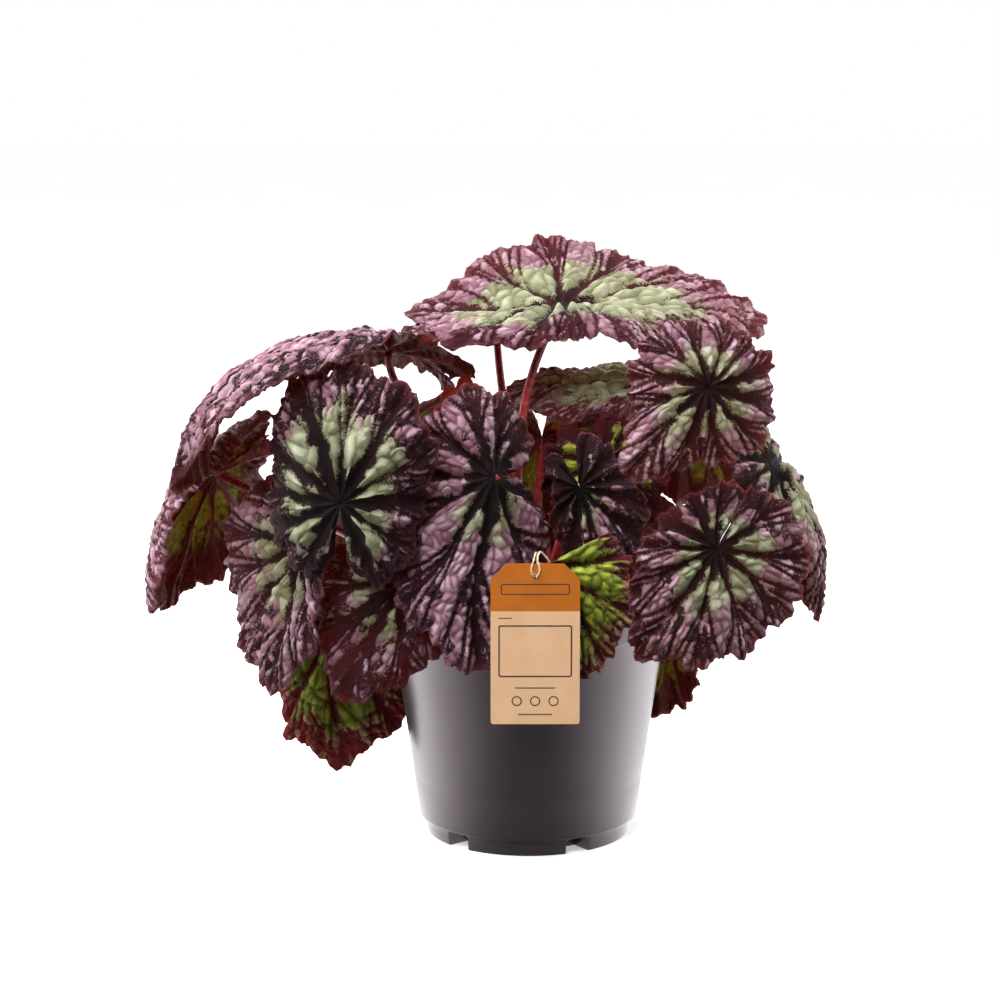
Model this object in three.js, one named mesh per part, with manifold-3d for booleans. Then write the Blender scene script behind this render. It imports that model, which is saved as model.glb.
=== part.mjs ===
// A rex begonia in a 14 cm plastic nursery pot, in millimetres, +Z up.
// The origin is the centre of the pot's underside, on the surface it stands on, and -Y is the plant's front.
// Every leaf is one solid, a blade on its red stalk. The stalks stand in holes in the rhizome and the soil.
import * as THREE from "three";
import { mergeVertices } from "three/addons/utils/BufferGeometryUtils.js";
import Module from "manifold-3d";

const wasm = await Module();
wasm.setup();

// ---- Driving dimensions -------------------------------------------------------------------------------

const POT_HEIGHT = 118;
const POT_TOP_RADIUS = 70; // a 14 cm pot is named by its rim
const POT_FOOT_RADIUS = 51;
const POT_WALL = 1.6;
const SOIL_LEVEL = 105;
const LEAF_THICKNESS = 0.9;
const SEAT_GAP = 0.3; // air left between pieces that rest on each other

const radians = THREE.MathUtils.degToRad;

// ---- Solids: three.js geometry to manifold and back ---------------------------------------------------

// A closed three.js geometry as a solid that can be joined and cut.
function solidOf(geometry) {
  const bare = new THREE.BufferGeometry().setAttribute("position", geometry.getAttribute("position"));
  bare.setIndex(geometry.index);
  const merged = mergeVertices(bare, 1e-4);
  return new wasm.Manifold(
    new wasm.Mesh({
      numProp: 3,
      vertProperties: new Float32Array(merged.attributes.position.array),
      triVerts: new Uint32Array(merged.index.array),
    }),
  );
}

// A closed surface given by its corner points and their triangles, as a solid.
function solidFrom(points, indices) {
  const positions = points.flatMap((point) => [point.x, point.y, point.z]);
  const geometry = new THREE.BufferGeometry();
  geometry.setAttribute("position", new THREE.Float32BufferAttribute(positions, 3));
  geometry.setIndex(indices);
  return solidOf(geometry);
}

// A finished solid as a named mesh with its material.
function meshOf(name, solid, material) {
  const result = solid.getMesh();
  const geometry = new THREE.BufferGeometry()
    .setAttribute("position", new THREE.BufferAttribute(new Float32Array(result.vertProperties), 3))
    .setIndex(new THREE.BufferAttribute(new Uint32Array(result.triVerts), 1));
  geometry.computeVertexNormals();
  const mesh = new THREE.Mesh(geometry, material);
  mesh.name = name;
  return mesh;
}

// A profile of [radius, height] points, turned about the vertical axis.
function turned(profile, sides) {
  const points = profile.map(([radius, height]) => new THREE.Vector2(radius, height));
  const geometry = new THREE.LatheGeometry(points, sides);
  geometry.rotateX(Math.PI / 2);
  return solidOf(geometry);
}

// ---- Materials ----------------------------------------------------------------------------------------

const finish = (color, roughness) => new THREE.MeshStandardMaterial({ color, roughness, metalness: 0 });
const potPlastic = finish(0x3b3638, 0.42);
const peat = finish(0x3a2a20, 0.95);
const rhizomeSkin = finish(0x6b4a38, 0.8);
const silverLeaf = finish(0x8f7f7c, 0.5);
const greenLeaf = finish(0x6f7a35, 0.5);
const labelCard = finish(0xf0bd86, 0.6);
const labelString = finish(0xe8dcc8, 0.5);

// ---- Leaves -------------------------------------------------------------------------------------------

// The palmate main veins, as angles about the stalk from the tip.
const VEIN_ANGLES = [-180, -152, -118, -86, -56, -27, 0, 27, 56, 86, 118, 152, 180];
const FIRST_VEIN = -6;
const RINGS = [0.3, 0.55, 0.775, 1]; // shares of the way out at which a blade is split
const HIDDEN_RINGS = [0.36, 0.7, 1]; // for blades at the back and inside the plant
const STEPS_OUTWARD = 40;
const RIDGE = 1.1; // how far the blade swells between two main veins

// Each leaf: where the stalk meets the blade (hub), where the upper face looks there (bearing from +X, height
// above the horizon) and which way the tip points in that face (clock, from straight down). reach, lift and
// droop are given towards tip, left, base and right: how far the blade goes, how it tilts up from the hub,
// and how far it has turned down at the margin. foot is where the stalk leaves the soil.
const LEAVES = [
  {
    name: "leaf_crown",
    hub: [16, 3, 263],
    face: [274, 89],
    clock: 93,
    reach: [101, 59, 78, 37],
    cup: 5,
    lift: [3, 22, -7, 14],
    droop: [27, -12, 14, 84],
    point: 0.17,
    arch: [-26, -2, -18],
    wrap: 178,
    notch: 0.12,
    lap: 14,
    layer: -6,
    foot: [-8, -8],
  },
  {
    name: "leaf_left_arch",
    hub: [-69, -2, 241],
    face: [289, 81],
    clock: -86,
    reach: [150, 34, 58, 60],
    cup: 30,
    lift: [4, 32, -11, -3],
    droop: [91, 10, 48, 54],
    point: 0.15,
    foot: [-12, 2],
  },
  {
    name: "leaf_far_left",
    hub: [-159, 44, 174],
    face: [138, 17],
    clock: 50,
    reach: [92, 50, 40, 44],
    droop: [60, 105, 10, 20],
    wrap: 178,
    notch: 0.2,
    lap: 10,
    layer: -6,
    foot: [-30, 6],
  },
  {
    name: "leaf_low_left",
    hub: [-107, -46, 154],
    face: [235, 18],
    clock: -8,
    reach: [72, 25, 42, 52],
    cup: 12,
    lift: [0, 40, 0, 5],
    droop: [22, 30, 15, 25],
    foot: [-26, -12],
  },
  {
    name: "leaf_front_left",
    hub: [-88, -84, 181],
    face: [262, 8],
    clock: 176,
    reach: [68, 48, 50, 42],
    point: 0.02,
    cup: 26,
    droop: [22, 80, 50, 40],
    wrap: 175,
    arch: [0, 0, 14],
    foot: [-15, -18],
  },
  {
    name: "leaf_front_middle",
    hub: [-17, -76, 192],
    face: [260, 8],
    clock: -5,
    reach: [90, 26, 42, 50],
    cup: 5,
    lift: [0, -76, -5, -6],
    droop: [6, 20, 30, 28],
    wrap: 178,
    notch: 0.15,
    lap: 12,
    layer: -6,
    foot: [-4, -22],
  },
  {
    name: "leaf_under_front",
    hub: [-60, -62, 139],
    face: [258, 12],
    clock: -26,
    reach: [64, 29, 22, 38],
    droop: [20, 38, 20, 25],
    foot: [-14, -28],
  },
  {
    name: "leaf_bottom_left",
    hub: [-100, 22, 98],
    face: [255, 5],
    clock: 4,
    reach: [72, 34, 34, 20],
    point: 0.06,
    lift: [0, -28, 0, 20],
    droop: [20, 30, 30, 60],
    green: true,
    arch: [0, 0, 50],
    foot: [-38, 2],
  },
  {
    name: "leaf_spiral",
    hub: [82, -80, 235],
    face: [275, 8],
    clock: -53,
    reach: [58, 39, 34, 39],
    point: 0.45,
    cup: 34,
    swirl: 20,
    droop: [30, 45, 45, 50],
    wrap: 178,
    notch: 0.1,
    lap: 14,
    layer: 6,
    foot: [14, -12],
  },
  {
    name: "leaf_right_edge",
    hub: [118, -5, 186],
    face: [338, 28],
    clock: 2,
    reach: [84, 50, 46, 32],
    lift: [12, 0, 0, 0],
    droop: [68, 35, 30, 60],
    foot: [28, -4],
  },
  {
    name: "leaf_low_right",
    hub: [86, -85, 160],
    face: [283, 8],
    clock: -38,
    reach: [62, 50, 38, 28],
    cup: 14,
    droop: [15, 25, 20, 25],
    wrap: 178,
    notch: 0.15,
    lap: 12,
    layer: 6,
    foot: [16, -26],
  },
  {
    name: "leaf_right_behind",
    hub: [66, 22, 222],
    face: [265, 65],
    clock: -90,
    reach: [78, 24, 34, 34],
    lift: [0, 10, 0, 0],
    droop: [25, 10, 20, 40],
    foot: [10, 6],
  },
  {
    name: "leaf_inner",
    hub: [36, -16, 190],
    face: [275, 10],
    clock: 20,
    reach: [48, 30, 24, 32],
    droop: [30, 30, 30, 30],
    green: true,
    rings: HIDDEN_RINGS,
    foot: [8, -2],
  },
  {
    name: "leaf_shaded",
    hub: [24, -46, 182],
    face: [266, 8],
    clock: 20,
    reach: [52, 26, 28, 14],
    droop: [25, 30, 30, 30],
    rings: HIDDEN_RINGS,
    foot: [6, -13],
  },
  {
    name: "leaf_low_middle",
    hub: [5, -85, 151],
    face: [276, 8],
    clock: 8,
    reach: [66, 42, 30, 10],
    droop: [25, 30, 30, 30],
    green: true,
    wrap: 108,
    cup: 8,
    arch: [10, 0, 0],
    foot: [12, -38],
  },
  {
    name: "leaf_right_hanging",
    hub: [74, 54, 82],
    face: [60, 5],
    clock: 34,
    reach: [50, 24, 24, 26],
    droop: [30, 40, 30, 40],
    arch: [0, 0, 72],
    rings: HIDDEN_RINGS,
    foot: [36, 14],
  },
  {
    name: "leaf_young",
    hub: [-31, -4, 203],
    face: [270, 0],
    clock: 178,
    reach: [28, 17, 18, 17],
    cup: 10,
    lift: [10, 40, 10, 40],
    droop: [10, 10, 10, 10],
    rings: HIDDEN_RINGS,
    foot: [-14, -12],
  },
  {
    name: "leaf_top_back",
    hub: [-16, 50, 248],
    face: [100, 84],
    clock: 0,
    reach: [66, 48, 42, 44],
    lift: [5, 0, 0, 0],
    droop: [25, 20, 15, 20],
    rings: HIDDEN_RINGS,
    foot: [-4, 8],
  },
  {
    name: "leaf_back_left",
    hub: [-74, 86, 184],
    face: [138, 40],
    clock: 0,
    reach: [76, 46, 42, 46],
    droop: [60, 45, 30, 45],
    rings: HIDDEN_RINGS,
    foot: [-18, 18],
  },
  {
    name: "leaf_back_middle",
    hub: [8, 98, 184],
    face: [88, 34],
    clock: 0,
    reach: [74, 46, 38, 46],
    droop: [60, 45, 30, 45],
    rings: HIDDEN_RINGS,
    foot: [2, 22],
  },
  {
    name: "leaf_back_right",
    hub: [83, 66, 192],
    face: [52, 45],
    clock: 0,
    reach: [64, 44, 40, 42],
    droop: [50, 45, 30, 45],
    rings: HIDDEN_RINGS,
    foot: [22, 14],
  },
  {
    name: "leaf_low_back_left",
    hub: [-62, 92, 124],
    face: [128, 12],
    clock: 0,
    reach: [60, 40, 36, 40],
    droop: [35, 40, 30, 40],
    arch: [0, 0, 24],
    rings: HIDDEN_RINGS,
    foot: [-22, 30],
  },
  {
    name: "leaf_low_back",
    hub: [12, 106, 118],
    face: [88, 10],
    clock: 0,
    reach: [60, 40, 34, 40],
    droop: [35, 40, 30, 40],
    arch: [0, 0, 28],
    rings: HIDDEN_RINGS,
    foot: [2, 38],
  },
  {
    name: "leaf_low_back_right",
    hub: [84, 76, 130],
    face: [42, 12],
    clock: 0,
    reach: [58, 38, 34, 38],
    droop: [35, 40, 30, 40],
    arch: [0, 0, 20],
    rings: HIDDEN_RINGS,
    foot: [28, 28],
  },
];

const PLAIN_LEAF = {
  rings: RINGS,
  wrap: 171, // how far round the stalk the blade goes, each way from the tip
  point: 0.22, // how far the drawn-out tip stands beyond the round of the blade
  notch: 0.45, // how far the notch behind the stalk cuts into the round of the blade
  cup: 20,
  swirl: 0,
  lap: 0, // how far each lobe beside the notch is carried past the middle, so that one lies over the other
  layer: 0, // how much steeper one of those lobes rises than the other
  wave: 12,
  lift: [0, 0, 0, 0],
  arch: [0, 0, 0], // how far the stalk's end handle is pulled aside, to lead it over the rim or past a leaf
};

// A value given towards tip, left, base and right, blended smoothly for any angle about the stalk.
function blended([tip, left, base, right], angle) {
  const mean = (tip + left + base + right) / 4;
  const oval = (tip - left + base - right) / 4;
  return (
    mean +
    oval * Math.cos(2 * angle) +
    ((tip - base) / 2) * Math.cos(angle) +
    ((left - right) / 2) * Math.sin(angle)
  );
}

// Which main vein an angle lies on: a whole number on a vein, a half midway between two.
function veinIndex(degrees) {
  let i = 0;
  while (i < VEIN_ANGLES.length - 2 && degrees > VEIN_ANGLES[i + 1]) i += 1;
  return FIRST_VEIN + i + (degrees - VEIN_ANGLES[i]) / (VEIN_ANGLES[i + 1] - VEIN_ANGLES[i]);
}

// The blade's length at an angle: an oblique heart with a drawn-out tip, a notch behind and a lobe on each
// vein.
function bladeReach(leaf, degrees) {
  const [tip, ...others] = leaf.reach;
  const round = blended([tip / (1 + leaf.point), ...others], radians(degrees));
  const point = leaf.point * Math.exp(-((degrees / 18) ** 2));
  const notch = leaf.notch * Math.exp(-(((180 - Math.abs(degrees)) / 15) ** 2));
  const lobe = 0.045 * (Math.cos(2 * Math.PI * veinIndex(degrees)) - 0.2);
  return round * (1 + point - notch + lobe);
}

// The hub's three directions: out of the upper face, towards the tip, and towards the left side.
function bladeAxes(leaf) {
  const [bearing, height] = leaf.face.map(radians);
  const clock = radians(leaf.clock);
  const up = new THREE.Vector3(
    Math.cos(bearing) * Math.cos(height),
    Math.sin(bearing) * Math.cos(height),
    Math.sin(height),
  );
  const down = new THREE.Vector3(
    Math.cos(bearing) * Math.sin(height),
    Math.sin(bearing) * Math.sin(height),
    -Math.cos(height),
  );
  const side = new THREE.Vector3(-Math.sin(bearing), Math.cos(bearing), 0);
  const tip = down.multiplyScalar(Math.cos(clock)).addScaledVector(side, Math.sin(clock));
  const left = new THREE.Vector3().crossVectors(up, tip);
  return { up, tip, left };
}

// One line of the blade, from the hub out to the margin: it leaves the hub rising by cup and lift, and turns
// down by droop on its way out, while swirl carries it round the hub. The lobes beside the notch pass each
// other.
function bladeLine(leaf, axes, degrees) {
  const angle = radians(degrees);
  const reach = bladeReach(leaf, degrees);
  const lift = blended(leaf.lift, angle);
  const droop = blended(leaf.droop, angle);
  const index = veinIndex(degrees);
  const aside = (degrees / 180) ** 3;
  const point = new THREE.Vector3(...leaf.hub);
  const line = [];
  for (let step = 0; step < STEPS_OUTWARD; step += 1) {
    const share = (step + 0.5) / STEPS_OUTWARD;
    const cup = leaf.cup * Math.max(0, 1 - share / 0.35);
    const wave = leaf.wave * Math.sin(2.3 * index + leaf.reach[0]) * share ** 2;
    const tilt = radians(cup + lift - droop * share ** 1.5 + wave + leaf.layer * aside);
    const turn = angle + radians(leaf.swirl + leaf.lap * aside) * share;
    const along = (reach / STEPS_OUTWARD) * Math.cos(tilt);
    point.addScaledVector(axes.tip, along * Math.cos(turn));
    point.addScaledVector(axes.left, along * Math.sin(turn));
    point.addScaledVector(axes.up, (reach / STEPS_OUTWARD) * Math.sin(tilt));
    line.push(point.clone());
  }
  return line;
}

// The blade as a thin closed solid: a fan of lines from the hub, split alike on both faces, swollen between
// the veins and cut by the notch behind the stalk.
function blade(leaf) {
  const axes = bladeAxes(leaf);
  const between = VEIN_ANGLES.slice(1).map((degrees, i) => (degrees + VEIN_ANGLES[i]) / 2);
  const spread = [...VEIN_ANGLES, ...between].sort((a, b) => a - b);
  const angles = [...new Set(spread.map((degrees) => THREE.MathUtils.clamp(degrees, -leaf.wrap, leaf.wrap)))];
  const hub = new THREE.Vector3(...leaf.hub);
  const lines = angles.map((degrees) => bladeLine(leaf, axes, degrees));
  const points = [hub];
  leaf.rings.forEach((share) => {
    lines.forEach((line) => points.push(line[Math.round(share * STEPS_OUTWARD) - 1].clone()));
  });
  const columns = angles.length;
  const last = leaf.rings.length - 1;
  const at = (ring, column) => (ring < 0 ? 0 : 1 + ring * columns + column);
  const faces = [];
  for (let column = 0; column < columns - 1; column += 1) {
    faces.push([0, at(0, column), at(0, column + 1)]);
    for (let ring = 0; ring < last; ring += 1) {
      faces.push([at(ring, column), at(ring + 1, column), at(ring + 1, column + 1)]);
      faces.push([at(ring, column), at(ring + 1, column + 1), at(ring, column + 1)]);
    }
  }
  const border = [];
  for (let ring = -1; ring <= last; ring += 1) border.push(at(ring, 0));
  for (let column = 1; column < columns; column += 1) border.push(at(last, column));
  for (let ring = last - 1; ring >= 0; ring -= 1) border.push(at(ring, columns - 1));
  const normals = pointNormals(points, faces);
  normals[0].copy(axes.up);
  leaf.rings.forEach((share, ring) => {
    angles.forEach((degrees, column) => {
      const i = at(ring, column);
      const swell = -Math.cos(2 * Math.PI * veinIndex(degrees));
      points[i].addScaledVector(normals[i], RIDGE * swell * Math.sin(Math.PI * Math.min(share, 0.85)));
    });
  });
  return thickened(points, faces, normals, border);
}

// The mean of the normals of the faces round each point.
function pointNormals(points, faces) {
  const normals = points.map(() => new THREE.Vector3());
  const edgeA = new THREE.Vector3();
  const edgeB = new THREE.Vector3();
  faces.forEach(([a, b, c]) => {
    edgeA.subVectors(points[b], points[a]);
    edgeB.subVectors(points[c], points[a]);
    const normal = edgeA.cross(edgeB);
    [a, b, c].forEach((i) => normals[i].add(normal));
  });
  return normals.map((normal) => normal.normalize());
}

// Both faces of the sheet, half a thickness to each side, closed round the margin and the notch.
function thickened(points, faces, normals, border) {
  const upper = points.map((point, i) => point.clone().addScaledVector(normals[i], LEAF_THICKNESS / 2));
  const lower = points.map((point, i) => point.clone().addScaledVector(normals[i], -LEAF_THICKNESS / 2));
  const count = points.length;
  const indices = [];
  faces.forEach(([a, b, c]) => {
    indices.push(a, b, c);
    indices.push(a + count, c + count, b + count);
  });
  border.forEach((a, i) => {
    const b = border[(i + 1) % border.length];
    indices.push(a, a + count, b + count);
    indices.push(a, b + count, b);
  });
  return solidFrom([...upper, ...lower], indices);
}

// ---- Stalks -------------------------------------------------------------------------------------------

const STALK_SIDES = 5;
const STALK_STEPS = 6;
const STALK_FOOT_RADIUS = 2.7;
const STALK_TOP_RADIUS = 1.8;
const STALK_ROOT_DEPTH = 8;
const STALK_APPROACH = 26; // how far behind the hub the stalk turns to meet it

// The stalk's line: straight up out of the soil, then over to meet the hub from under the blade.
function stalkCurve(leaf) {
  const { up } = bladeAxes(leaf);
  const hub = new THREE.Vector3(...leaf.hub);
  const foot = new THREE.Vector3(...leaf.foot, SOIL_LEVEL - STALK_ROOT_DEPTH);
  const rise = Math.max(hub.z - foot.z, 40);
  const start = foot.clone().lerp(hub, 0.15).setZ(foot.z + 0.55 * rise);
  const end = hub.clone().addScaledVector(up, -STALK_APPROACH);
  end.add(new THREE.Vector3(...leaf.arch));
  return new THREE.CubicBezierCurve3(foot, start, end, hub.clone().addScaledVector(up, -0.1));
}

// A tapering round stalk along its line, with extra added all round when it is used to cut a hole.
function stalk(leaf, extra = 0) {
  const radiusAt = (share) => THREE.MathUtils.lerp(STALK_FOOT_RADIUS, STALK_TOP_RADIUS, share) + extra;
  return rod(stalkCurve(leaf), STALK_STEPS, STALK_SIDES, radiusAt, extra);
}

// A closed rod of varying radius along a curve, run on past both ends by extra.
function rod(curve, steps, sides, radiusAt, extra = 0) {
  const points = [];
  const indices = [];
  const chord = new THREE.Vector3().subVectors(curve.getPoint(1), curve.getPoint(0));
  const level = new THREE.Vector3(chord.y, -chord.x, 0).normalize();
  for (let step = 0; step <= steps; step += 1) {
    const centre = curve.getPoint(step / steps);
    const direction = curve.getTangent(step / steps);
    const second = new THREE.Vector3().crossVectors(direction, level).normalize();
    const across = new THREE.Vector3().crossVectors(second, direction);
    const radius = radiusAt(step / steps);
    if (step === 0) centre.addScaledVector(direction, -extra);
    if (step === steps) centre.addScaledVector(direction, extra);
    for (let side = 0; side < sides; side += 1) {
      const turn = (2 * Math.PI * side) / sides;
      const point = centre.clone().addScaledVector(across, radius * Math.cos(turn));
      points.push(point.addScaledVector(second, radius * Math.sin(turn)));
    }
  }
  const at = (step, side) => step * sides + (side % sides);
  for (let step = 0; step < steps; step += 1) {
    for (let side = 0; side < sides; side += 1) {
      indices.push(at(step, side), at(step, side + 1), at(step + 1, side + 1));
      indices.push(at(step, side), at(step + 1, side + 1), at(step + 1, side));
    }
  }
  for (let side = 1; side < sides - 1; side += 1) {
    indices.push(at(0, 0), at(0, side + 1), at(0, side));
    indices.push(at(steps, 0), at(steps, side), at(steps, side + 1));
  }
  return solidFrom(points, indices);
}

// ---- Pot ----------------------------------------------------------------------------------------------

const POT_SIDES = 32;
const POT_COLLAR = 12; // height of the collar round the rim
const POT_SKIRT_RADIUS = POT_TOP_RADIUS - 1.4; // the wall just under the collar
const POT_HEEL_RADIUS = 54.8; // the wall just above the foot
const POT_HEEL_HEIGHT = 10;
const COLLAR_BOTTOM = POT_HEIGHT - POT_COLLAR;
const DRAIN_BEARINGS = [-43, 28, 100, 172, 244]; // degrees from the front, anticlockwise from above
const DRAIN_WIDTH = 13;
const DRAIN_HEIGHT = 8.6;
const DRAIN_INNER_RADIUS = 39;
const DRAIN_HOLE_RADIUS = 4.5;
const SOIL_SIDES = 32;

// The wall's inner radius at a height, under the collar.
function potInnerRadius(height) {
  const share = (height - POT_HEEL_HEIGHT) / (COLLAR_BOTTOM - POT_HEEL_HEIGHT);
  return THREE.MathUtils.lerp(POT_HEEL_RADIUS, POT_SKIRT_RADIUS, share) - POT_WALL;
}

// A drain recess: an arch of the given width and height, run inwards from outside the foot.
function drainArch(bearing, width, height, innerRadius) {
  const half = width / 2;
  const shape = new THREE.Shape();
  shape.moveTo(-half, -1);
  shape.lineTo(half, -1);
  shape.lineTo(half, height - 3);
  shape.quadraticCurveTo(half, height, half - 3, height);
  shape.lineTo(3 - half, height);
  shape.quadraticCurveTo(-half, height, -half, height - 3);
  const geometry = new THREE.ExtrudeGeometry(shape, {
    depth: POT_TOP_RADIUS - innerRadius,
    bevelEnabled: false,
    curveSegments: 2,
  });
  geometry.rotateX(Math.PI / 2);
  geometry.translate(0, -innerRadius, 0);
  geometry.rotateZ(radians(bearing));
  return solidOf(geometry);
}

// The pot: a thin tapered wall with a collar, a stepped-in foot, and five drain recesses in its flat floor.
function pot() {
  const outside = [
    [0, 0],
    [POT_FOOT_RADIUS, 0],
    [POT_FOOT_RADIUS + 0.7, 7.6],
    [POT_HEEL_RADIUS - 1.6, 8],
    [POT_HEEL_RADIUS, POT_HEEL_HEIGHT],
    [POT_SKIRT_RADIUS, COLLAR_BOTTOM],
    [POT_TOP_RADIUS, COLLAR_BOTTOM + 0.6],
    [POT_TOP_RADIUS, POT_HEIGHT - 0.6],
    [POT_TOP_RADIUS - 0.6, POT_HEIGHT],
  ];
  const wallFoot = POT_FOOT_RADIUS - POT_WALL;
  const inside = [
    [POT_TOP_RADIUS - POT_WALL, POT_HEIGHT],
    [POT_TOP_RADIUS - POT_WALL, COLLAR_BOTTOM + 0.6],
    [potInnerRadius(COLLAR_BOTTOM - 1), COLLAR_BOTTOM - 1],
    [potInnerRadius(POT_HEEL_HEIGHT + 1), POT_HEEL_HEIGHT + 1],
    [wallFoot, 9],
    [wallFoot, POT_WALL],
    [0, POT_WALL],
  ];
  const envelope = turned([...outside, [0, POT_HEIGHT]], POT_SIDES);
  let body = turned([...outside, ...inside], POT_SIDES);
  DRAIN_BEARINGS.forEach((bearing) => {
    const casing = drainArch(
      bearing,
      DRAIN_WIDTH + 2 * POT_WALL,
      DRAIN_HEIGHT + POT_WALL,
      DRAIN_INNER_RADIUS - POT_WALL,
    );
    body = body.add(casing.intersect(envelope));
  });
  DRAIN_BEARINGS.forEach((bearing) => {
    const turn = radians(bearing - 90);
    const middle = (DRAIN_INNER_RADIUS + POT_FOOT_RADIUS) / 2;
    const hole = new THREE.CylinderGeometry(DRAIN_HOLE_RADIUS, DRAIN_HOLE_RADIUS, 8, 8);
    hole.rotateX(Math.PI / 2);
    hole.translate(middle * Math.cos(turn), middle * Math.sin(turn), DRAIN_HEIGHT);
    body = body.subtract(drainArch(bearing, DRAIN_WIDTH, DRAIN_HEIGHT, DRAIN_INNER_RADIUS));
    body = body.subtract(solidOf(hole));
  });
  return body;
}

// ---- Soil and rhizome ---------------------------------------------------------------------------------

// The potting mix: it stands on the floor inside the drain recesses, and fills the pot to a lumpy, mounded
// top.
function soil() {
  const core = DRAIN_INNER_RADIUS - POT_WALL - SEAT_GAP - 0.5;
  const recessTop = DRAIN_HEIGHT + POT_WALL + SEAT_GAP;
  const points = [
    [0, POT_WALL + SEAT_GAP],
    [core, POT_WALL + SEAT_GAP],
    [core, recessTop],
    [potInnerRadius(recessTop + 2) - SEAT_GAP, recessTop + 2],
    [potInnerRadius(SOIL_LEVEL - 3) - SEAT_GAP, SOIL_LEVEL - 3],
    [38, SOIL_LEVEL],
    [0, SOIL_LEVEL + 2],
  ].map(([radius, height]) => new THREE.Vector2(radius, height));
  const geometry = new THREE.LatheGeometry(points, SOIL_SIDES);
  geometry.rotateX(Math.PI / 2);
  const position = geometry.getAttribute("position");
  for (let i = 0; i < position.count; i += 1) {
    const [x, y, z] = [position.getX(i), position.getY(i), position.getZ(i)];
    const lump = Math.sin(0.35 * x + 1.3) * Math.cos(0.41 * y) + 0.6 * Math.sin(0.83 * y + 0.5 * x);
    if (z > SOIL_LEVEL - 2) position.setZ(i, z + 0.8 * lump);
  }
  return solidOf(geometry);
}

// The creeping rhizome: knobbly arms as [start, middle, end, thickest radius], lying half sunk in the soil.
const RHIZOME_ARMS = [
  [[-42, 6], [-8, -6], [40, 6], 8],
  [[-2, -4], [-6, -20], [-12, -38], 7],
  [[4, 0], [0, 20], [4, 46], 7],
];
const RHIZOME_HEIGHT = 104;
const RHIZOME_SIDES = 6;

// One arm of the rhizome: a round rod ringed by leaf scars, blunt at both ends.
function rhizomeArm([start, middle, end, thickest], extra) {
  const at = ([x, y], height) => new THREE.Vector3(x, y, height);
  const curve = new THREE.QuadraticBezierCurve3(
    at(start, RHIZOME_HEIGHT),
    at(middle, RHIZOME_HEIGHT + 2),
    at(end, RHIZOME_HEIGHT - 1),
  );
  const steps = 5;
  const radiusAt = (share) => {
    const blunt = Math.sqrt(Math.max(0, 1 - (2 * share - 1) ** 6));
    const scars = 1 + 0.07 * Math.cos(steps * Math.PI * share);
    return thickest * scars * Math.max(blunt, 0.45) + extra;
  };
  return rod(curve, steps, RHIZOME_SIDES, radiusAt, extra);
}

function rhizome(extra = 0) {
  return wasm.Manifold.union(RHIZOME_ARMS.map((arm) => rhizomeArm(arm, extra)));
}

// The largest of a solid's separate bodies, for where a hole shaves a crumb off an edge.
function largest(solid) {
  return solid.decompose().reduce((best, part) => (part.volume() > best.volume() ? part : best));
}

// ---- Hang tag -----------------------------------------------------------------------------------------

const TAG_WIDTH = 41.6;
const TAG_HEIGHT = 76.5;
const TAG_THICKNESS = 0.7;
const TAG_CORNER = 7.5; // the cut-off upper corners
const TAG_HOLE_RADIUS = 1.4;
const TAG_HOLE_DROP = 6.2; // from the top edge down to the hole
const TAG_CENTRE_X = 2.2;
const TAG_FACE_Y = -92;
const TAG_TOP = 154;

// The card: a rectangle with its upper corners cut off and a hole under the top edge.
function tag() {
  const half = TAG_WIDTH / 2;
  const round = 1.5;
  const shape = new THREE.Shape();
  shape.moveTo(half - TAG_CORNER, 0);
  shape.lineTo(TAG_CORNER - half, 0);
  shape.lineTo(-half, -TAG_CORNER);
  shape.lineTo(-half, round - TAG_HEIGHT);
  shape.quadraticCurveTo(-half, -TAG_HEIGHT, round - half, -TAG_HEIGHT);
  shape.lineTo(half - round, -TAG_HEIGHT);
  shape.quadraticCurveTo(half, -TAG_HEIGHT, half, round - TAG_HEIGHT);
  shape.lineTo(half, -TAG_CORNER);
  const hole = new THREE.Path();
  hole.absarc(0, -TAG_HOLE_DROP, TAG_HOLE_RADIUS, 0, 2 * Math.PI, true);
  shape.holes.push(hole);
  const geometry = new THREE.ExtrudeGeometry(shape, {
    depth: TAG_THICKNESS,
    bevelEnabled: false,
    curveSegments: 6,
  });
  geometry.rotateX(Math.PI / 2);
  geometry.translate(TAG_CENTRE_X, TAG_FACE_Y + TAG_THICKNESS, TAG_TOP);
  return solidOf(geometry);
}

// The string: its ends are knotted behind the card. From the knot both strands pass out through the hole,
// rise in front of the card, and go back through a leaf's notch to join round its stalk.
const STRING_RADIUS = 0.5;
const STRING_SIDES = 8;
const STRING_STEPS = 36;
const STRING_ROUTE = [
  [1.6, -90.2, 147.9],
  [1.55, -91.6, 147.8],
  [1.35, -92.7, 148.1],
  [0.5, -93.2, 150.0],
  [0.4, -93.2, 152.4],
  [1.3, -92.6, 155.5],
  [1.9, -90.9, 157.6],
  [2.4, -88.4, 158.3],
  [2.8, -85.6, 157.8],
  [3.0, -82.2, 155.2],
  [3.2, -80.2, 151.5],
  [4.2, -79.6, 147.9],
  [6.5, -79.3, 146.7],
  [8.8, -79.6, 147.6],
  [9.5, -80.0, 150.2],
  [8.4, -80.9, 153.4],
  [5.8, -82.0, 156.8],
  [4.35, -84.6, 158.1],
  [3.9, -88.2, 158.2],
  [3.4, -90.9, 157.5],
  [3.3, -92.6, 155.4],
  [4.1, -93.2, 152.4],
  [3.9, -93.2, 150.0],
  [3.05, -92.7, 148.1],
  [2.85, -91.6, 147.8],
  [2.8, -90.2, 147.9],
];
const KNOT_CENTRE = [2.2, -89.9, 147.8];
const KNOT_RADII = [1.9, 1.1, 1.6];

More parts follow.
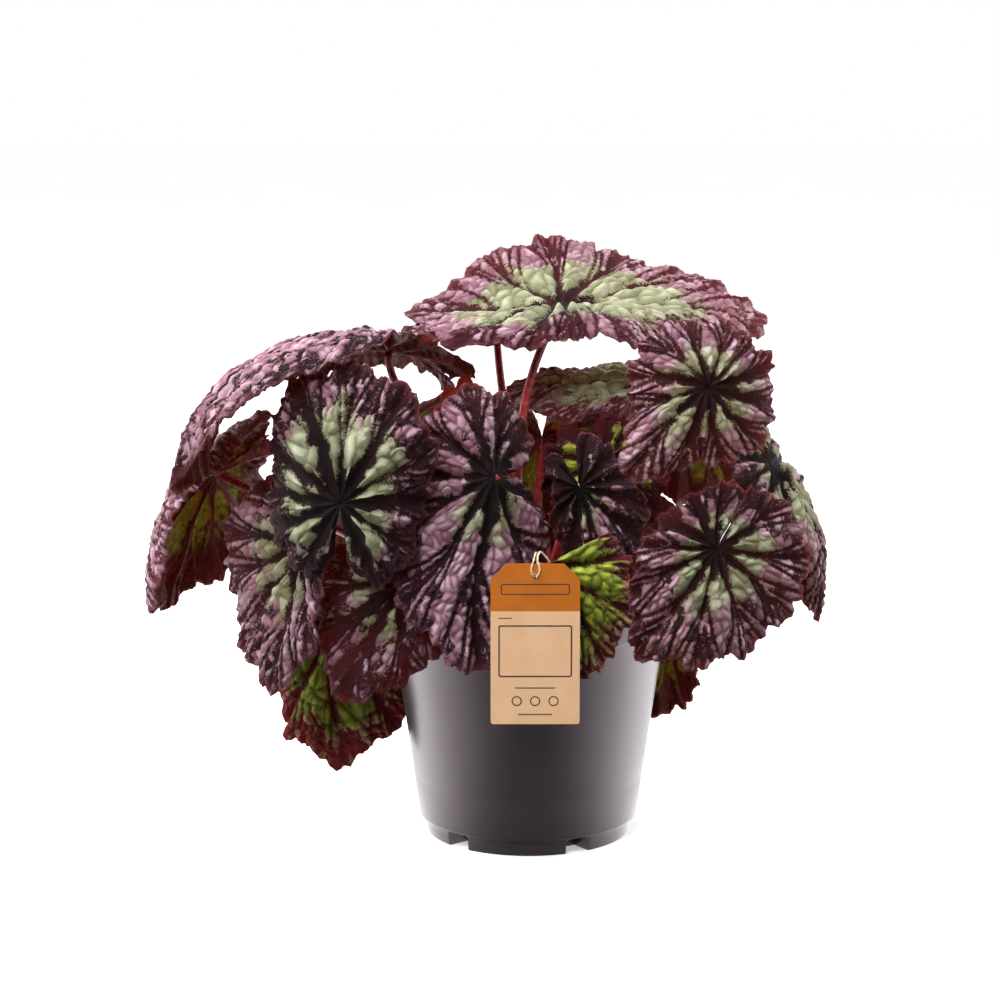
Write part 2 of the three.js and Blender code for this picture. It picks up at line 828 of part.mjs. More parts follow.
function tagString() {
  const route = new THREE.CatmullRomCurve3(STRING_ROUTE.map((point) => new THREE.Vector3(...point)));
  const section = new THREE.Shape();
  section.absarc(0, 0, STRING_RADIUS, 0, 2 * Math.PI);
  const strand = new THREE.ExtrudeGeometry(section, {
    steps: STRING_STEPS,
    curveSegments: STRING_SIDES / 2, // a full circle is split twice as finely as this says
    extrudePath: route,
  });
  const knot = new THREE.SphereGeometry(1, 8, 6);
  knot.scale(...KNOT_RADII);
  knot.translate(...KNOT_CENTRE);
  return solidOf(strand).add(solidOf(knot));
}

// ---- Assembly -----------------------------------------------------------------------------------------

const plant = new THREE.Group();
const leaves = LEAVES.map((leaf) => ({ ...PLAIN_LEAF, ...leaf }));
leaves.forEach((leaf) => {
  const solid = blade(leaf).add(stalk(leaf));
  plant.add(meshOf(leaf.name, solid, leaf.green ? greenLeaf : silverLeaf));
});

const stalkHoles = wasm.Manifold.union(leaves.map((leaf) => stalk(leaf, SEAT_GAP)));
plant.add(meshOf("rhizome", largest(rhizome().subtract(stalkHoles)), rhizomeSkin));
plant.add(meshOf("soil", largest(soil().subtract(rhizome(SEAT_GAP)).subtract(stalkHoles)), peat));
plant.add(meshOf("pot", pot(), potPlastic));
plant.add(meshOf("tag", tag(), labelCard));
plant.add(meshOf("tag_string", tagString(), labelString));

export default plant;
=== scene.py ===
import math

import bpy
import numpy as np
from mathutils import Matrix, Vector


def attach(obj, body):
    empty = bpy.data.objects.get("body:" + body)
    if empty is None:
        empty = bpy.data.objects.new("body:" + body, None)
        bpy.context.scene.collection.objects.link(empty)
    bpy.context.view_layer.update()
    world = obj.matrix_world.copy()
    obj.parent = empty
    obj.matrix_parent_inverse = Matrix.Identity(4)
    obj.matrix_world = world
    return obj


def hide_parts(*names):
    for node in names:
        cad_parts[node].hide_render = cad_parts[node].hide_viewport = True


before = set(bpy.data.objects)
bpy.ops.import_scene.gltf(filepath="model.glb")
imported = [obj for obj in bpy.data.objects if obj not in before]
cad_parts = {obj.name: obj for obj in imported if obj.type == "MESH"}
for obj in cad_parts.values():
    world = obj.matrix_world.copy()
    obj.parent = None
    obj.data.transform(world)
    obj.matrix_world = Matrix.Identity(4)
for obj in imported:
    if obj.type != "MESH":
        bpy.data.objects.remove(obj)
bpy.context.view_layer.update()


# ---- Pot ----
# A 14 cm round nursery pot, thermoformed from thin dark grey sheet: a plain collar round the rim, a taper, a
# small step above the foot, and five arched drain recesses in its floor, each with a round hole in its roof.

POT_HEIGHT = 118.0
POT_WALL = 1.6
POT_FOOT_RADIUS = 51.0
POT_COLUMNS = 220
DRAIN_BEARINGS = (-43, 28, 100, 172, 244)  # degrees from the front, anticlockwise from above
DRAIN_WIDTH = 13.0
DRAIN_HEIGHT = 8.6
DRAIN_INNER_RADIUS = 39.0
DRAIN_HOLE_RADIUS = 4.5
DRAIN_HOLE_SIDES = 24


def linear(colour):
    """An sRGB hex colour as a linear RGBA colour."""
    channels = [int(colour[i:i + 2], 16) / 255 for i in (1, 3, 5)]
    return [c / 12.92 if c <= 0.04045 else ((c + 0.055) / 1.055) ** 2.4 for c in channels] + [1.0]


def node(tree, kind, inputs={}, stops=(), **settings):
    """Adds a node with its settings, a ramp's stops as (place, hex colour), and each input given a value or
    the output that feeds it. Returns the node's first output."""
    new = tree.nodes.new("ShaderNode" + kind)
    for name, value in settings.items():
        setattr(new, name, value)
    while stops and len(new.color_ramp.elements) < len(stops):
        new.color_ramp.elements.new(0.5)
    for number, (place, colour) in enumerate(stops):
        new.color_ramp.elements[number].position = place
        new.color_ramp.elements[number].color = linear(colour)
    for name, value in inputs.items():
        if isinstance(value, bpy.types.NodeSocket):
            tree.links.new(value, new.inputs[name])
        else:
            new.inputs[name].default_value = value
    return next(output for output in new.outputs if output.enabled)


def finish(name, build, bump=(), **constants):
    """A material. build(tree, place) makes its nodes, place being where a point lies on the piece, and
    returns what feeds each of the shader's sockets, with a Height where bump gives a strength and a
    distance in metres. constants are set on the shader itself."""
    material = bpy.data.materials.new(name)
    material.use_nodes = True
    tree = material.node_tree
    surface = tree.nodes["Principled BSDF"].inputs
    for socket, value in constants.items():
        surface[socket.replace("_", " ")].default_value = value
    feeds = build(tree, node(tree, "TexCoord").node.outputs["Object"])
    if bump:
        feeds["Normal"] = node(tree, "Bump", {
            "Height": feeds.pop("Height"), "Strength": bump[0], "Distance": bump[1]})
    for socket, output in feeds.items():
        tree.links.new(output, surface[socket])
    return material


def added(name, data):
    """A new object in the scene, at the origin."""
    new = bpy.data.objects.new(name, data)
    bpy.context.scene.collection.objects.link(new)
    return new


def piece(name, points, faces, finishes, replaces, fields={}):
    """A smooth mesh from points in millimetres and a list of (corner array, finish number), stood for CAD
    nodes. fields are colour attributes, one row of four numbers for each point."""
    mesh = bpy.data.meshes.new(name)
    corners = np.concatenate([face.ravel() for face, _ in faces])
    sizes = np.concatenate([np.full(len(face), face.shape[1]) for face, _ in faces])
    kinds = np.concatenate([np.full(len(face), kind) for face, kind in faces])
    mesh.vertices.add(len(points))
    mesh.vertices.foreach_set("co", (points / 1000).ravel())
    mesh.loops.add(len(corners))
    mesh.loops.foreach_set("vertex_index", corners)
    mesh.polygons.add(len(sizes))
    mesh.polygons.foreach_set("loop_start", np.concatenate([[0], np.cumsum(sizes)[:-1]]))
    mesh.polygons.foreach_set("material_index", kinds)
    for field, values in fields.items():
        mesh.color_attributes.new(field, "FLOAT_COLOR", "POINT").data.foreach_set("color", values.ravel())
    mesh.update(calc_edges=True)
    mesh.shade_smooth()
    for material in finishes:
        mesh.materials.append(material)
    new = added(name, mesh)
    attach(new, "root")
    if replaces:
        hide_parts(replaces)
    return new


def lattice(rows, columns, closed=False, first=0):
    """The quads between neighbouring rows and columns of a grid of points stored row by row."""
    row = np.arange(rows - 1)[:, None]
    column = np.arange(columns if closed else columns - 1)[None, :]
    beside = (column + 1) % columns
    corners = [row * columns + column, row * columns + beside,
               (row + 1) * columns + beside, (row + 1) * columns + column]
    return first + np.stack(corners, axis=-1).reshape(-1, 4)


def fan(hub, ring):
    """The triangles from one point to each pair of neighbours on a closed ring."""
    return np.stack([np.full(len(ring), hub), ring, np.roll(ring, -1)], axis=-1)


def pot_grid():
    """The pot's profile, from the middle of its underside out, up, over the rim and down to the middle of
    its floor, carried round the axis. In a drain recess the profile turns up at the recess's back and runs
    out along its roof, and inside the pot it steps over the recess's casing."""
    foot, heel, skirt, rim = POT_FOOT_RADIUS, 54.8, 68.6, 70.0
    outer = [
        (8, 0), (30, 0), (DRAIN_INNER_RADIUS - 0.05, 0), (DRAIN_INNER_RADIUS, 0), (foot - 1.2, 0),
        (foot - 0.4, 0.2), (foot, 0.9), (foot + 0.35, 4), (foot + 0.65, 7), (foot + 1, 7.7), (heel - 2, 8),
        (heel - 0.8, 8.4), (heel - 0.15, 9.2), (heel, 10.3), (57.2, 28.4), (57.2, 29.2), (57.35, 29.8),
        (61.5, 58), (65.4, 84), (skirt, 105.4), (skirt + 0.25, 105.9), (rim - 0.35, 106.1), (rim, 106.6),
        (rim, 112), (rim, 117.2), (rim - 0.3, 117.9),
    ]
    inner = [(rim - 1.2, POT_HEIGHT), (rim - POT_WALL, 117.4), (rim - POT_WALL, 107), (skirt - POT_WALL, 105),
             (61.5 - POT_WALL, 58), (heel - POT_WALL, 11), (foot - POT_WALL, 9.4), (foot - POT_WALL, 2.4),
             (foot - 2.2, POT_WALL), (DRAIN_INNER_RADIUS - POT_WALL, POT_WALL),
             (DRAIN_INNER_RADIUS - POT_WALL - 0.05, POT_WALL), (12, POT_WALL)]
    half = math.degrees(DRAIN_WIDTH / 2 / foot)
    wide = half + 2.0
    edges = [bearing + side * (reach + step) for bearing in DRAIN_BEARINGS for side in (-1, 1)
             for reach in (half, wide) for step in (-0.05, 0.05)]
    even = np.arange(POT_COLUMNS) * 360 / POT_COLUMNS
    turn = np.sort(np.concatenate([even, np.array(edges) % 360]))
    away = np.min([np.abs((turn - b + 180) % 360 - 180) for b in DRAIN_BEARINGS], axis=0)
    shoulder = np.clip((away - half * 0.5) / (half * 0.5), 0, 1)
    roof = DRAIN_HEIGHT - 3.2 * (1 - np.sqrt(1 - shoulder ** 2))
    radius = np.array([r for r, _ in outer + inner], dtype=float)[:, None] * np.ones_like(turn)
    height = np.array([z for _, z in outer + inner], dtype=float)[:, None] * np.ones_like(turn)
    under = (radius >= DRAIN_INNER_RADIUS) & (height < roof) & (np.arange(len(radius)) < len(outer))[:, None]
    height = np.where(under & (away < half), roof, height)
    casing = (radius >= DRAIN_INNER_RADIUS - POT_WALL) & (height < DRAIN_HEIGHT + POT_WALL)
    casing &= (np.arange(len(radius)) >= len(outer))[:, None]
    height = np.where(casing & (away < wide), DRAIN_HEIGHT + POT_WALL, height)
    angle = np.radians(turn - 90)
    return np.stack([radius * np.cos(angle), radius * np.sin(angle), height], axis=-1)


def pot_plastic(tree, place):
    """Polypropylene sheet with a satin skin: a fine orange-peel of about 0.8 mm, and faint dusty smears."""
    peel = node(tree, "TexNoise", {"Vector": place, "Scale": 900.0, "Detail": 3.0})
    dust = node(tree, "TexNoise", {"Vector": place, "Scale": 40.0, "Detail": 6.0, "Roughness": 0.7})
    rough = node(tree, "MapRange", {"Value": dust, "To Min": 0.26, "To Max": 0.36})
    colour = node(tree, "ValToRGB", {"Fac": dust}, [(0.35, "#241c21"), (0.75, "#2e252b")])
    return {"Base Color": colour, "Roughness": rough, "Height": peel}


pot_points = pot_grid()
pot_rows, pot_columns = pot_points.shape[:2]
pot_count = pot_rows * pot_columns
pot = piece(
    "pot_shell",
    np.concatenate([pot_points.reshape(-1, 3), [[0, 0, 0], [0, 0, POT_WALL]]]),
    [
        (lattice(pot_rows, pot_columns, closed=True), 0),
        (fan(pot_count, np.arange(pot_columns)[::-1]), 0),
        (fan(pot_count + 1, pot_count - pot_columns + np.arange(pot_columns)), 0),
    ],
    [finish("thermoformed polypropylene", pot_plastic, (0.1, 0.0003),
            Specular_IOR_Level=0.9, Specular_Tint=linear("#fff0fa"))],
    "pot",
)

# The five round holes are drilled through the recesses' roofs: a slim prism each, cut away from the
# shell.
drill_middle = (DRAIN_INNER_RADIUS + POT_FOOT_RADIUS) / 2
drill_bearing, drill_height, drill_side = np.broadcast_arrays(
    np.radians(np.array(DRAIN_BEARINGS) - 90)[:, None, None],
    np.array([DRAIN_HEIGHT - 3, DRAIN_HEIGHT + 3])[:, None],
    np.arange(DRAIN_HOLE_SIDES) * 2 * np.pi / DRAIN_HOLE_SIDES,
)
drill_points = np.stack([
    drill_middle * np.cos(drill_bearing) + DRAIN_HOLE_RADIUS * np.cos(drill_side),
    drill_middle * np.sin(drill_bearing) + DRAIN_HOLE_RADIUS * np.sin(drill_side),
    drill_height,
], axis=-1).reshape(-1, 3)
drill_faces = []
for first in range(0, len(drill_points), 2 * DRAIN_HOLE_SIDES):
    foot = list(range(first, first + DRAIN_HOLE_SIDES))
    drill_faces += [foot[::-1], [corner + DRAIN_HOLE_SIDES for corner in foot]]
    drill_faces += lattice(2, DRAIN_HOLE_SIDES, closed=True, first=first).tolist()
drill_mesh = bpy.data.meshes.new("drills")
drill_mesh.from_pydata((drill_points / 1000).tolist(), [], drill_faces)
drills = added("drills", drill_mesh)
drilling = pot.modifiers.new("drain holes", "BOOLEAN")
drilling.object, drilling.solver = drills, "EXACT"
drilled = bpy.data.meshes.new_from_object(pot.evaluated_get(bpy.context.evaluated_depsgraph_get()))
pot.modifiers.clear()
pot.data = drilled
bpy.data.objects.remove(drills)
pot.data.set_sharp_from_angle(angle=math.radians(40))


# ---- Potting mix ----
# Damp peat and fine bark, filled to just under the rim and pressed down by hand: dark brown crumbs of 1 to
# 4 mm, with a few white grains of perlite lying among them.

SOIL_LEVEL = 105.0
SOIL_RINGS = 110
SOIL_COLUMNS = 260
SOIL_SHOULDER = 99.0  # where its side starts to narrow
SOIL_UNDERSIDE = 12.8
GRAINS = 420
WHITE_GRAINS = 90


def chance(*seeds):
    """A number from 0 to 1 for each set of seeds, spread as if thrown: the fraction of a very fast sine
    wave."""
    factors = (12.9898, 78.233, 37.719)
    mixed = sum(np.asarray(seed, dtype=float) * factor for seed, factor in zip(seeds, factors))
    return np.sin(mixed) * 43758.5453 % 1.0


def soil_height(x, y):
    """The heaped level of the mix, with broad lumps from a few crossing waves and crumbs from faster ones."""
    level = SOIL_LEVEL + 2 * (1 - np.minimum(np.hypot(x, y) / 66, 1) ** 2 * 2)
    broad = 0.8 * (np.sin(0.35 * x + 1.3) * np.cos(0.41 * y) + 0.6 * np.sin(0.83 * y + 0.5 * x))
    crumbs = 0.5 * np.sin(2.1 * x + 0.7 * y) * np.sin(2.3 * y - 0.6 * x)
    return level + broad + (crumbs + 0.35 * np.sin(3.9 * x + 1) * np.sin(4.3 * y))


def soil_mix(tree, place):
    """Peat with bark: crumbs about 2 mm across in several browns, matt, the darkest where they are damp."""
    crumb = node(tree, "TexVoronoi", {"Vector": place, "Scale": 520.0, "Randomness": 1.0})
    fibre = node(tree, "TexNoise", {"Vector": place, "Scale": 1500.0, "Detail": 5.0, "Roughness": 0.75})
    mixed = node(tree, "Mix", {"Factor": 0.45, "A": crumb, "B": fibre})
    colour = node(tree, "ValToRGB", {"Fac": mixed}, [(0.25, "#4a3628"), (0.45, "#2e2019"), (0.7, "#150e0b")])
    return {"Base Color": colour, "Height": mixed}


soil_turn = np.arange(SOIL_COLUMNS)[None, :] * 2 * np.pi / SOIL_COLUMNS
soil_radius = np.concatenate([np.linspace(0.5, 65.9, SOIL_RINGS), [65.6, 53.6, 36]])[:, None]
soil_x, soil_y = soil_radius * np.cos(soil_turn), soil_radius * np.sin(soil_turn)
soil_z = soil_height(soil_x, soil_y)
soil_z[-3:] = np.array([SOIL_SHOULDER, SOIL_UNDERSIDE, SOIL_UNDERSIDE])[:, None]
soil_points = np.stack([soil_x, soil_y, soil_z], axis=-1).reshape(-1, 3)
soil_count = len(soil_points)
piece(
    "potting_mix",
    np.concatenate([soil_points, [[0, 0, soil_z[0].mean()], [0, 0, SOIL_UNDERSIDE]]]),
    [
        (lattice(len(soil_radius), SOIL_COLUMNS, closed=True)[:, ::-1], 0),
        (fan(soil_count, np.arange(SOIL_COLUMNS)), 0),
        (fan(soil_count + 1, soil_count - 1 - np.arange(SOIL_COLUMNS)), 0),
    ],
    [finish("peat and bark", soil_mix, (0.9, 0.0015), Roughness=0.95)],
    "soil",
)

grain_number = np.arange(GRAINS)
grain_radius = 62 * np.sqrt(chance(grain_number, 1))
grain_turn = 2 * np.pi * chance(grain_number, 2)
grain_centre = np.stack([grain_radius * np.cos(grain_turn), grain_radius * np.sin(grain_turn)], axis=-1)
grain_size = 0.5 + 1.3 * chance(grain_number, 3) ** 2
grain_height = soil_height(grain_centre[:, 0], grain_centre[:, 1]) + 0.3 * grain_size
octahedron = np.array([[1, 0, 0], [0, 1, 0], [-1, 0, 0], [0, -1, 0], [0, 0, 0.8], [0, 0, -0.8]])
octahedron_faces = np.array([
    [0, 1, 4], [1, 2, 4], [2, 3, 4], [3, 0, 4], [1, 0, 5], [2, 1, 5], [3, 2, 5], [0, 3, 5]])
grain_spin = 2 * np.pi * chance(grain_number, 4)[:, None]
grain_reach = chance(grain_number[:, None, None], np.arange(6)[None, :, None], 5)
grain_shape = octahedron * (0.7 + 0.6 * grain_reach)
grain_x = grain_shape[..., 0] * np.cos(grain_spin) - grain_shape[..., 1] * np.sin(grain_spin)
grain_y = grain_shape[..., 0] * np.sin(grain_spin) + grain_shape[..., 1] * np.cos(grain_spin)
grain_points = np.stack([grain_x, grain_y, grain_shape[..., 2]], axis=-1) * grain_size[:, None, None]
grain_points += np.concatenate([grain_centre, grain_height[:, None]], axis=-1)[:, None]


def perlite(tree, place):
    """Expanded volcanic glass: chalky off-white grains with a fine pitted skin."""
    pits = node(tree, "TexNoise", {"Vector": place, "Scale": 2500.0, "Detail": 3.0})
    colour = node(tree, "ValToRGB", {"Fac": pits}, [(0.35, "#8d8375"), (0.6, "#c9c3b6")])
    return {"Base Color": colour, "Height": pits}


perlite_finish = finish("perlite", perlite, (0.6, 0.0003), Roughness=0.9)
bark_finish = finish("fine bark", soil_mix, (0.9, 0.0015), Roughness=0.9)
grain_faces = octahedron_faces + 6 * grain_number[:, None, None]
piece(
    "potting_mix_grains",
    grain_points.reshape(-1, 3),
    [(grain_faces[:WHITE_GRAINS].reshape(-1, 3), 0), (grain_faces[WHITE_GRAINS:].reshape(-1, 3), 1)],
    [perlite_finish, bark_finish],
    "soil",
)


# ---- Rhizome ----
# The thick creeping stem that every leaf grows from, lying half sunk in the mix: three knobbly arms with
# brown, papery skin, ringed by the scars of old leaves.

RHIZOME_RINGS = 70
RHIZOME_SIDES = 26
RHIZOME_ARMS = (  # start, middle, end, thickest radius
    ((-42, 6, 104), (-8, -6, 106), (40, 6, 103), 8.0),
    ((-2, -4, 104), (-6, -20, 106), (-12, -38, 103), 7.0),
    ((4, 0, 104), (0, 20, 106), (4, 46, 103), 7.0),
)


def unit(vectors):
    """Vectors of length one."""
    return vectors / np.maximum(np.linalg.norm(vectors, axis=-1, keepdims=True), 1e-9)


def rings_around(centres, first, second, radii, sides):
    """Rings of points round a line, each turning from one direction across it to another, and the way that
    each point lies from the line."""
    turn = np.arange(sides)[:, None] * 2 * np.pi / sides
    outward = first[:, None] * np.cos(turn) + second[:, None] * np.sin(turn)
    return centres[:, None] + outward * radii, outward


def tube(centres, radii, sides, level):
    """Rings round a line, turning from the way across it that is square to a level direction. radii has a
    number for each point of each ring."""
    along = unit(np.gradient(centres, axis=0))
    second = unit(np.cross(along, level))
    return rings_around(centres, np.cross(second, along), second, radii[..., None], sides)


def tube_faces(rings, sides, first=0):
    """A tube's quads, and a fan of triangles over each end, pointing outwards."""
    last = first + (rings - 1) * sides
    caps = [[first, first + side + 1, first + side] for side in range(1, sides - 1)]
    caps += [[last, last + side, last + side + 1] for side in range(1, sides - 1)]
    return lattice(rings, sides, closed=True, first=first), np.array(caps)


def rhizome_skin(tree, place):
    """Dry papery skin over green flesh: brown, flaking in patches of a few millimetres, with fine lines
    along it."""
    flake = node(tree, "TexNoise", {"Vector": place, "Scale": 260.0, "Detail": 6.0, "Roughness": 0.65})
    fine = node(tree, "TexNoise", {"Vector": place, "Scale": 1400.0, "Detail": 3.0})
    colour = node(tree, "ValToRGB", {"Fac": flake}, [(0.3, "#3a231a"), (0.5, "#6b4a38"), (0.7, "#8c6a4c")])
    return {"Base Color": colour, "Height": fine}


rhizome_parts, rhizome_faces = [], []
for *bends, thickest in RHIZOME_ARMS:
    share = np.linspace(0, 1, RHIZOME_RINGS)[:, None]
    start, middle, end = np.array(bends, dtype=float)
    line = (1 - share) ** 2 * start + 2 * share * (1 - share) * middle + share ** 2 * end
    turn = np.arange(RHIZOME_SIDES)[None, :] * 2 * np.pi / RHIZOME_SIDES
    blunt = np.maximum(np.sqrt(1 - (2 * share - 1) ** 6), 0.3)
    scars = 1 + 0.07 * np.cos(5 * np.pi * share) - 0.07 * np.exp(-((share * 9 % 1 - 0.5) / 0.12) ** 2)
    knobs = 1 + 0.05 * np.sin(3 * turn + 14 * share) + 0.03 * np.sin(7 * turn - 31 * share)
    chord = end - start
    level = np.array([chord[1], -chord[0], 0.0])
    points, _ = tube(line, thickest * 0.98 * blunt * scars * knobs, RHIZOME_SIDES, level)
    quads, caps = tube_faces(RHIZOME_RINGS, RHIZOME_SIDES, sum(len(part) for part in rhizome_parts))
    rhizome_parts.append(points.reshape(-1, 3))
    rhizome_faces += [(quads, 0), (caps, 0)]
piece(
    "creeping_stem",
    np.concatenate(rhizome_parts),
    rhizome_faces,
    [finish("rhizome skin", rhizome_skin, (0.6, 0.0006), Roughness=0.75)],
    "rhizome",
)


# ---- Leaves ----
# Twenty-four begonia leaves, each a blade on its fleshy red stalk. The blade is an oblique heart, puckered
# between sunken veins into pads: sage green by the stalk, dusty pink further out, maroon between them and
# at the toothed, hairy margin. The underside is maroon, with raised veins.

VEIN_ANGLES = (-180, -152, -118, -86, -56, -27, 0, 27, 56, 86, 118, 152, 180)
FIRST_VEIN = -6
BLADE_THICKNESS = 0.9
RIDGE = 1.1  # how far the blade stands up between two main veins
BEAD = (6.4, 5.2)  # one lump of the inner pads, along the leaf and across it
STREAK = (5.6, 3.7)  # one wrinkle of the outer part
TOOTH_PITCH = 3.1
SCALLOP_PITCH = 9.5
STALK_FOOT_RADIUS = 2.7
STALK_TOP_RADIUS = 1.8
STALK_RINGS = 64
STALK_SIDES = 14

# hub: where the stalk meets the blade. face: the bearing and height of the way the hub faces, in degrees.
# clock: how the tip is turned about the stalk. reach, lift and droop: towards tip, left, base and right.
# wrap: how far round the blade goes on each side. point and notch: how far its tip is drawn out and its base
# cut in. cup, wave and swirl: how it bowls, waves and winds. lap and layer: how far the lobes beside the
# notch are carried past it, and how much steeper one rises. arch and foot: where the stalk's top is pushed
# to, and where it leaves the mix. silver: the share of the way out where sage turns to pink. bare: how much
# of the outer part is dark. grain: how coarse its lumps are. gap: how wide its dark valleys are, and warm,
# how red. shade: a darker side as its angle, half width and strength. grid: its mesh's rows and columns.
# shade paints one side of a leaf's outer pads darker, as painted shade.
PLAIN_LEAF = dict(
    wrap=171, point=0.22, notch=0.45, cup=20, swirl=0, lap=0, layer=0, wave=12, lift=(0, 0, 0, 0),
    arch=(0, 0, 0), silver=0.55, bare=0.2, grain=1.0, gap=1.0, warm=0.0, shade=(0, 1, 0), grid=(60, 200),
    skin="silvered",
)
LEAVES = {
    "crown": dict(
        hub=(16, 3, 263), face=(274, 89), clock=93, reach=(101, 59, 78, 37), cup=5, lift=(3, 22, -7, 14),
        droop=(27, -12, 14, 84), point=0.17, arch=(-26, -2, -18), wrap=178, notch=0.12, lap=14, layer=-6,
        foot=(-8, -8), silver=0.66, bare=0.12, grain=1.3, gap=1.6, warm=0.35, grid=(126, 460),
    ),
    "left_arch": dict(
        hub=(-69, -2, 241), face=(289, 81), clock=-86, reach=(150, 34, 58, 60), cup=30,
        lift=(4, 32, -11, -3), droop=(91, 10, 48, 54), point=0.15, foot=(-12, 2), silver=0.12, bare=0.3,
        grain=1.2, grid=(144, 400),
    ),
    "far_left": dict(
        hub=(-159, 44, 174), face=(138, 17), clock=50, reach=(92, 50, 40, 44), droop=(60, 105, 10, 20),
        wrap=178, notch=0.2, lap=10, layer=-6, foot=(-30, 6), silver=0.6, warm=0.3, grid=(105, 340),
    ),
    "low_left": dict(
        hub=(-107, -46, 154), face=(235, 18), clock=-8, reach=(72, 25, 42, 52), cup=12, lift=(0, 40, 0, 5),
        droop=(22, 30, 15, 25), foot=(-26, -12), silver=0.5, bare=0.15, grain=1.2, gap=1.2, warm=0.1,
        grid=(105, 340),
    ),
    "front_left": dict(
        hub=(-88, -84, 181), face=(262, 8), clock=176, reach=(68, 48, 50, 42), point=0.02, cup=26,
        droop=(22, 80, 50, 40), wrap=175, arch=(0, 0, 14), foot=(-15, -18), silver=0.66, bare=0.5,
        grain=1.6, gap=2.6, shade=(150, 60, 0.8), grid=(111, 380),
    ),
    "front_middle": dict(
        hub=(-17, -76, 192), face=(260, 8), clock=-5, reach=(90, 26, 42, 50), cup=5, lift=(0, -76, -5, -6),
        droop=(6, 20, 30, 28), wrap=178, notch=0.15, lap=12, layer=-6, foot=(-4, -22), silver=0.3,
        bare=0.1, grain=1.4, gap=1.6, grid=(111, 380),
    ),
    "under_front": dict(
        hub=(-60, -62, 139), face=(258, 12), clock=-26, reach=(64, 29, 22, 38), droop=(20, 38, 20, 25),
        foot=(-14, -28), silver=0.5, bare=0.5, grain=1.3, gap=2.2, warm=0.3, grid=(90, 300),
    ),
    "bottom_left": dict(
        hub=(-100, 22, 98), face=(255, 5), clock=4, reach=(72, 34, 34, 20), point=0.06,
        lift=(0, -28, 0, 20), droop=(20, 30, 30, 60), arch=(0, 0, 50), foot=(-38, 2), silver=0.7,
        bare=0.35, grain=1.5, gap=1.6, warm=0.5, grid=(90, 300), skin="green",
    ),
    "spiral": dict(
        hub=(82, -80, 235), face=(275, 8), clock=-53, reach=(58, 39, 34, 39), point=0.45, cup=34, swirl=20,
        droop=(30, 45, 45, 50), wrap=178, notch=0.1, lap=14, layer=6, foot=(14, -12), silver=0.56,
        bare=0.08, gap=1.15, warm=0.1, grid=(117, 420),
    ),
    "right_edge": dict(
        hub=(118, -5, 186), face=(338, 28), clock=2, reach=(84, 50, 46, 32), lift=(12, 0, 0, 0),
        droop=(68, 35, 30, 60), foot=(28, -4), silver=0.5, bare=0.3, grain=1.2, gap=1.2, grid=(99, 340),
    ),
    "low_right": dict(
        hub=(86, -85, 160), face=(283, 8), clock=-38, reach=(62, 50, 38, 28), cup=14,
        droop=(15, 25, 20, 25), wrap=178, notch=0.15, lap=12, layer=6, foot=(16, -26), silver=0.5,
        grain=1.2, gap=1.2, warm=0.1, grid=(111, 380),
    ),
    "right_behind": dict(
        hub=(66, 22, 222), face=(265, 65), clock=-90, reach=(78, 24, 34, 34), lift=(0, 10, 0, 0),
        droop=(25, 10, 20, 40), foot=(10, 6), silver=0.72, bare=0.15, grain=1.4, warm=0.4, grid=(90, 300),
    ),
    # inner's many dark outer pads and wide dark valleys are painted shade, for the shadow deep inside the
    # plant.
    "inner": dict(
        hub=(36, -16, 190), face=(275, 10), clock=20, reach=(48, 30, 24, 32), droop=(30, 30, 30, 30),
        foot=(8, -2), silver=0.75, bare=0.8, gap=2.4, grid=(72, 240), skin="green",
    ),
    "shaded": dict(
        hub=(24, -46, 182), face=(266, 8), clock=20, reach=(52, 26, 28, 14), droop=(25, 30, 30, 30),
        foot=(6, -13), silver=0.35, bare=0.7, gap=1.6, grid=(72, 240),
    ),
    "low_middle": dict(
        hub=(5, -85, 151), face=(276, 8), clock=8, reach=(66, 42, 30, 10), droop=(25, 30, 30, 30),
        wrap=108, cup=8, arch=(10, 0, 0), foot=(12, -38), silver=0.8, bare=0.25, grain=1.2, gap=0.7,
        grid=(90, 300), skin="green",
    ),
    "right_hanging": dict(
        hub=(74, 54, 82), face=(60, 5), clock=34, reach=(50, 24, 24, 26), droop=(30, 40, 30, 40),
        arch=(0, 0, 72), foot=(36, 14),
    ),
    "young": dict(
        hub=(-31, -4, 203), face=(270, 0), clock=178, reach=(28, 17, 18, 17), cup=10,
        lift=(10, 40, 10, 40), droop=(10, 10, 10, 10), foot=(-14, -12), silver=0.5, warm=0.8, skin="young",
    ),
    "top_back": dict(
        hub=(-16, 50, 248), face=(100, 84), clock=0, reach=(66, 48, 42, 44), lift=(5, 0, 0, 0),
        droop=(25, 20, 15, 20), foot=(-4, 8),
    ),
    "back_left": dict(
        hub=(-74, 86, 184), face=(138, 40), clock=0, reach=(76, 46, 42, 46), droop=(60, 45, 30, 45),
        foot=(-18, 18),
    ),
    "back_middle": dict(
        hub=(8, 98, 184), face=(88, 34), clock=0, reach=(74, 46, 38, 46), droop=(60, 45, 30, 45),
        foot=(2, 22),
    ),
    "back_right": dict(
        hub=(83, 66, 192), face=(52, 45), clock=0, reach=(64, 44, 40, 42), droop=(50, 45, 30, 45),
        foot=(22, 14),
    ),
    "low_back_left": dict(
        hub=(-62, 92, 124), face=(128, 12), clock=0, reach=(60, 40, 36, 40), droop=(35, 40, 30, 40),
        arch=(0, 0, 24), foot=(-22, 30),
    ),
    "low_back": dict(
        hub=(12, 106, 118), face=(88, 10), clock=0, reach=(60, 40, 34, 40), droop=(35, 40, 30, 40),
        arch=(0, 0, 28), foot=(2, 38),
    ),
    "low_back_right": dict(
        hub=(84, 76, 130), face=(42, 12), clock=0, reach=(58, 38, 34, 38), droop=(35, 40, 30, 40),
        arch=(0, 0, 20), foot=(28, 28),
    ),
}


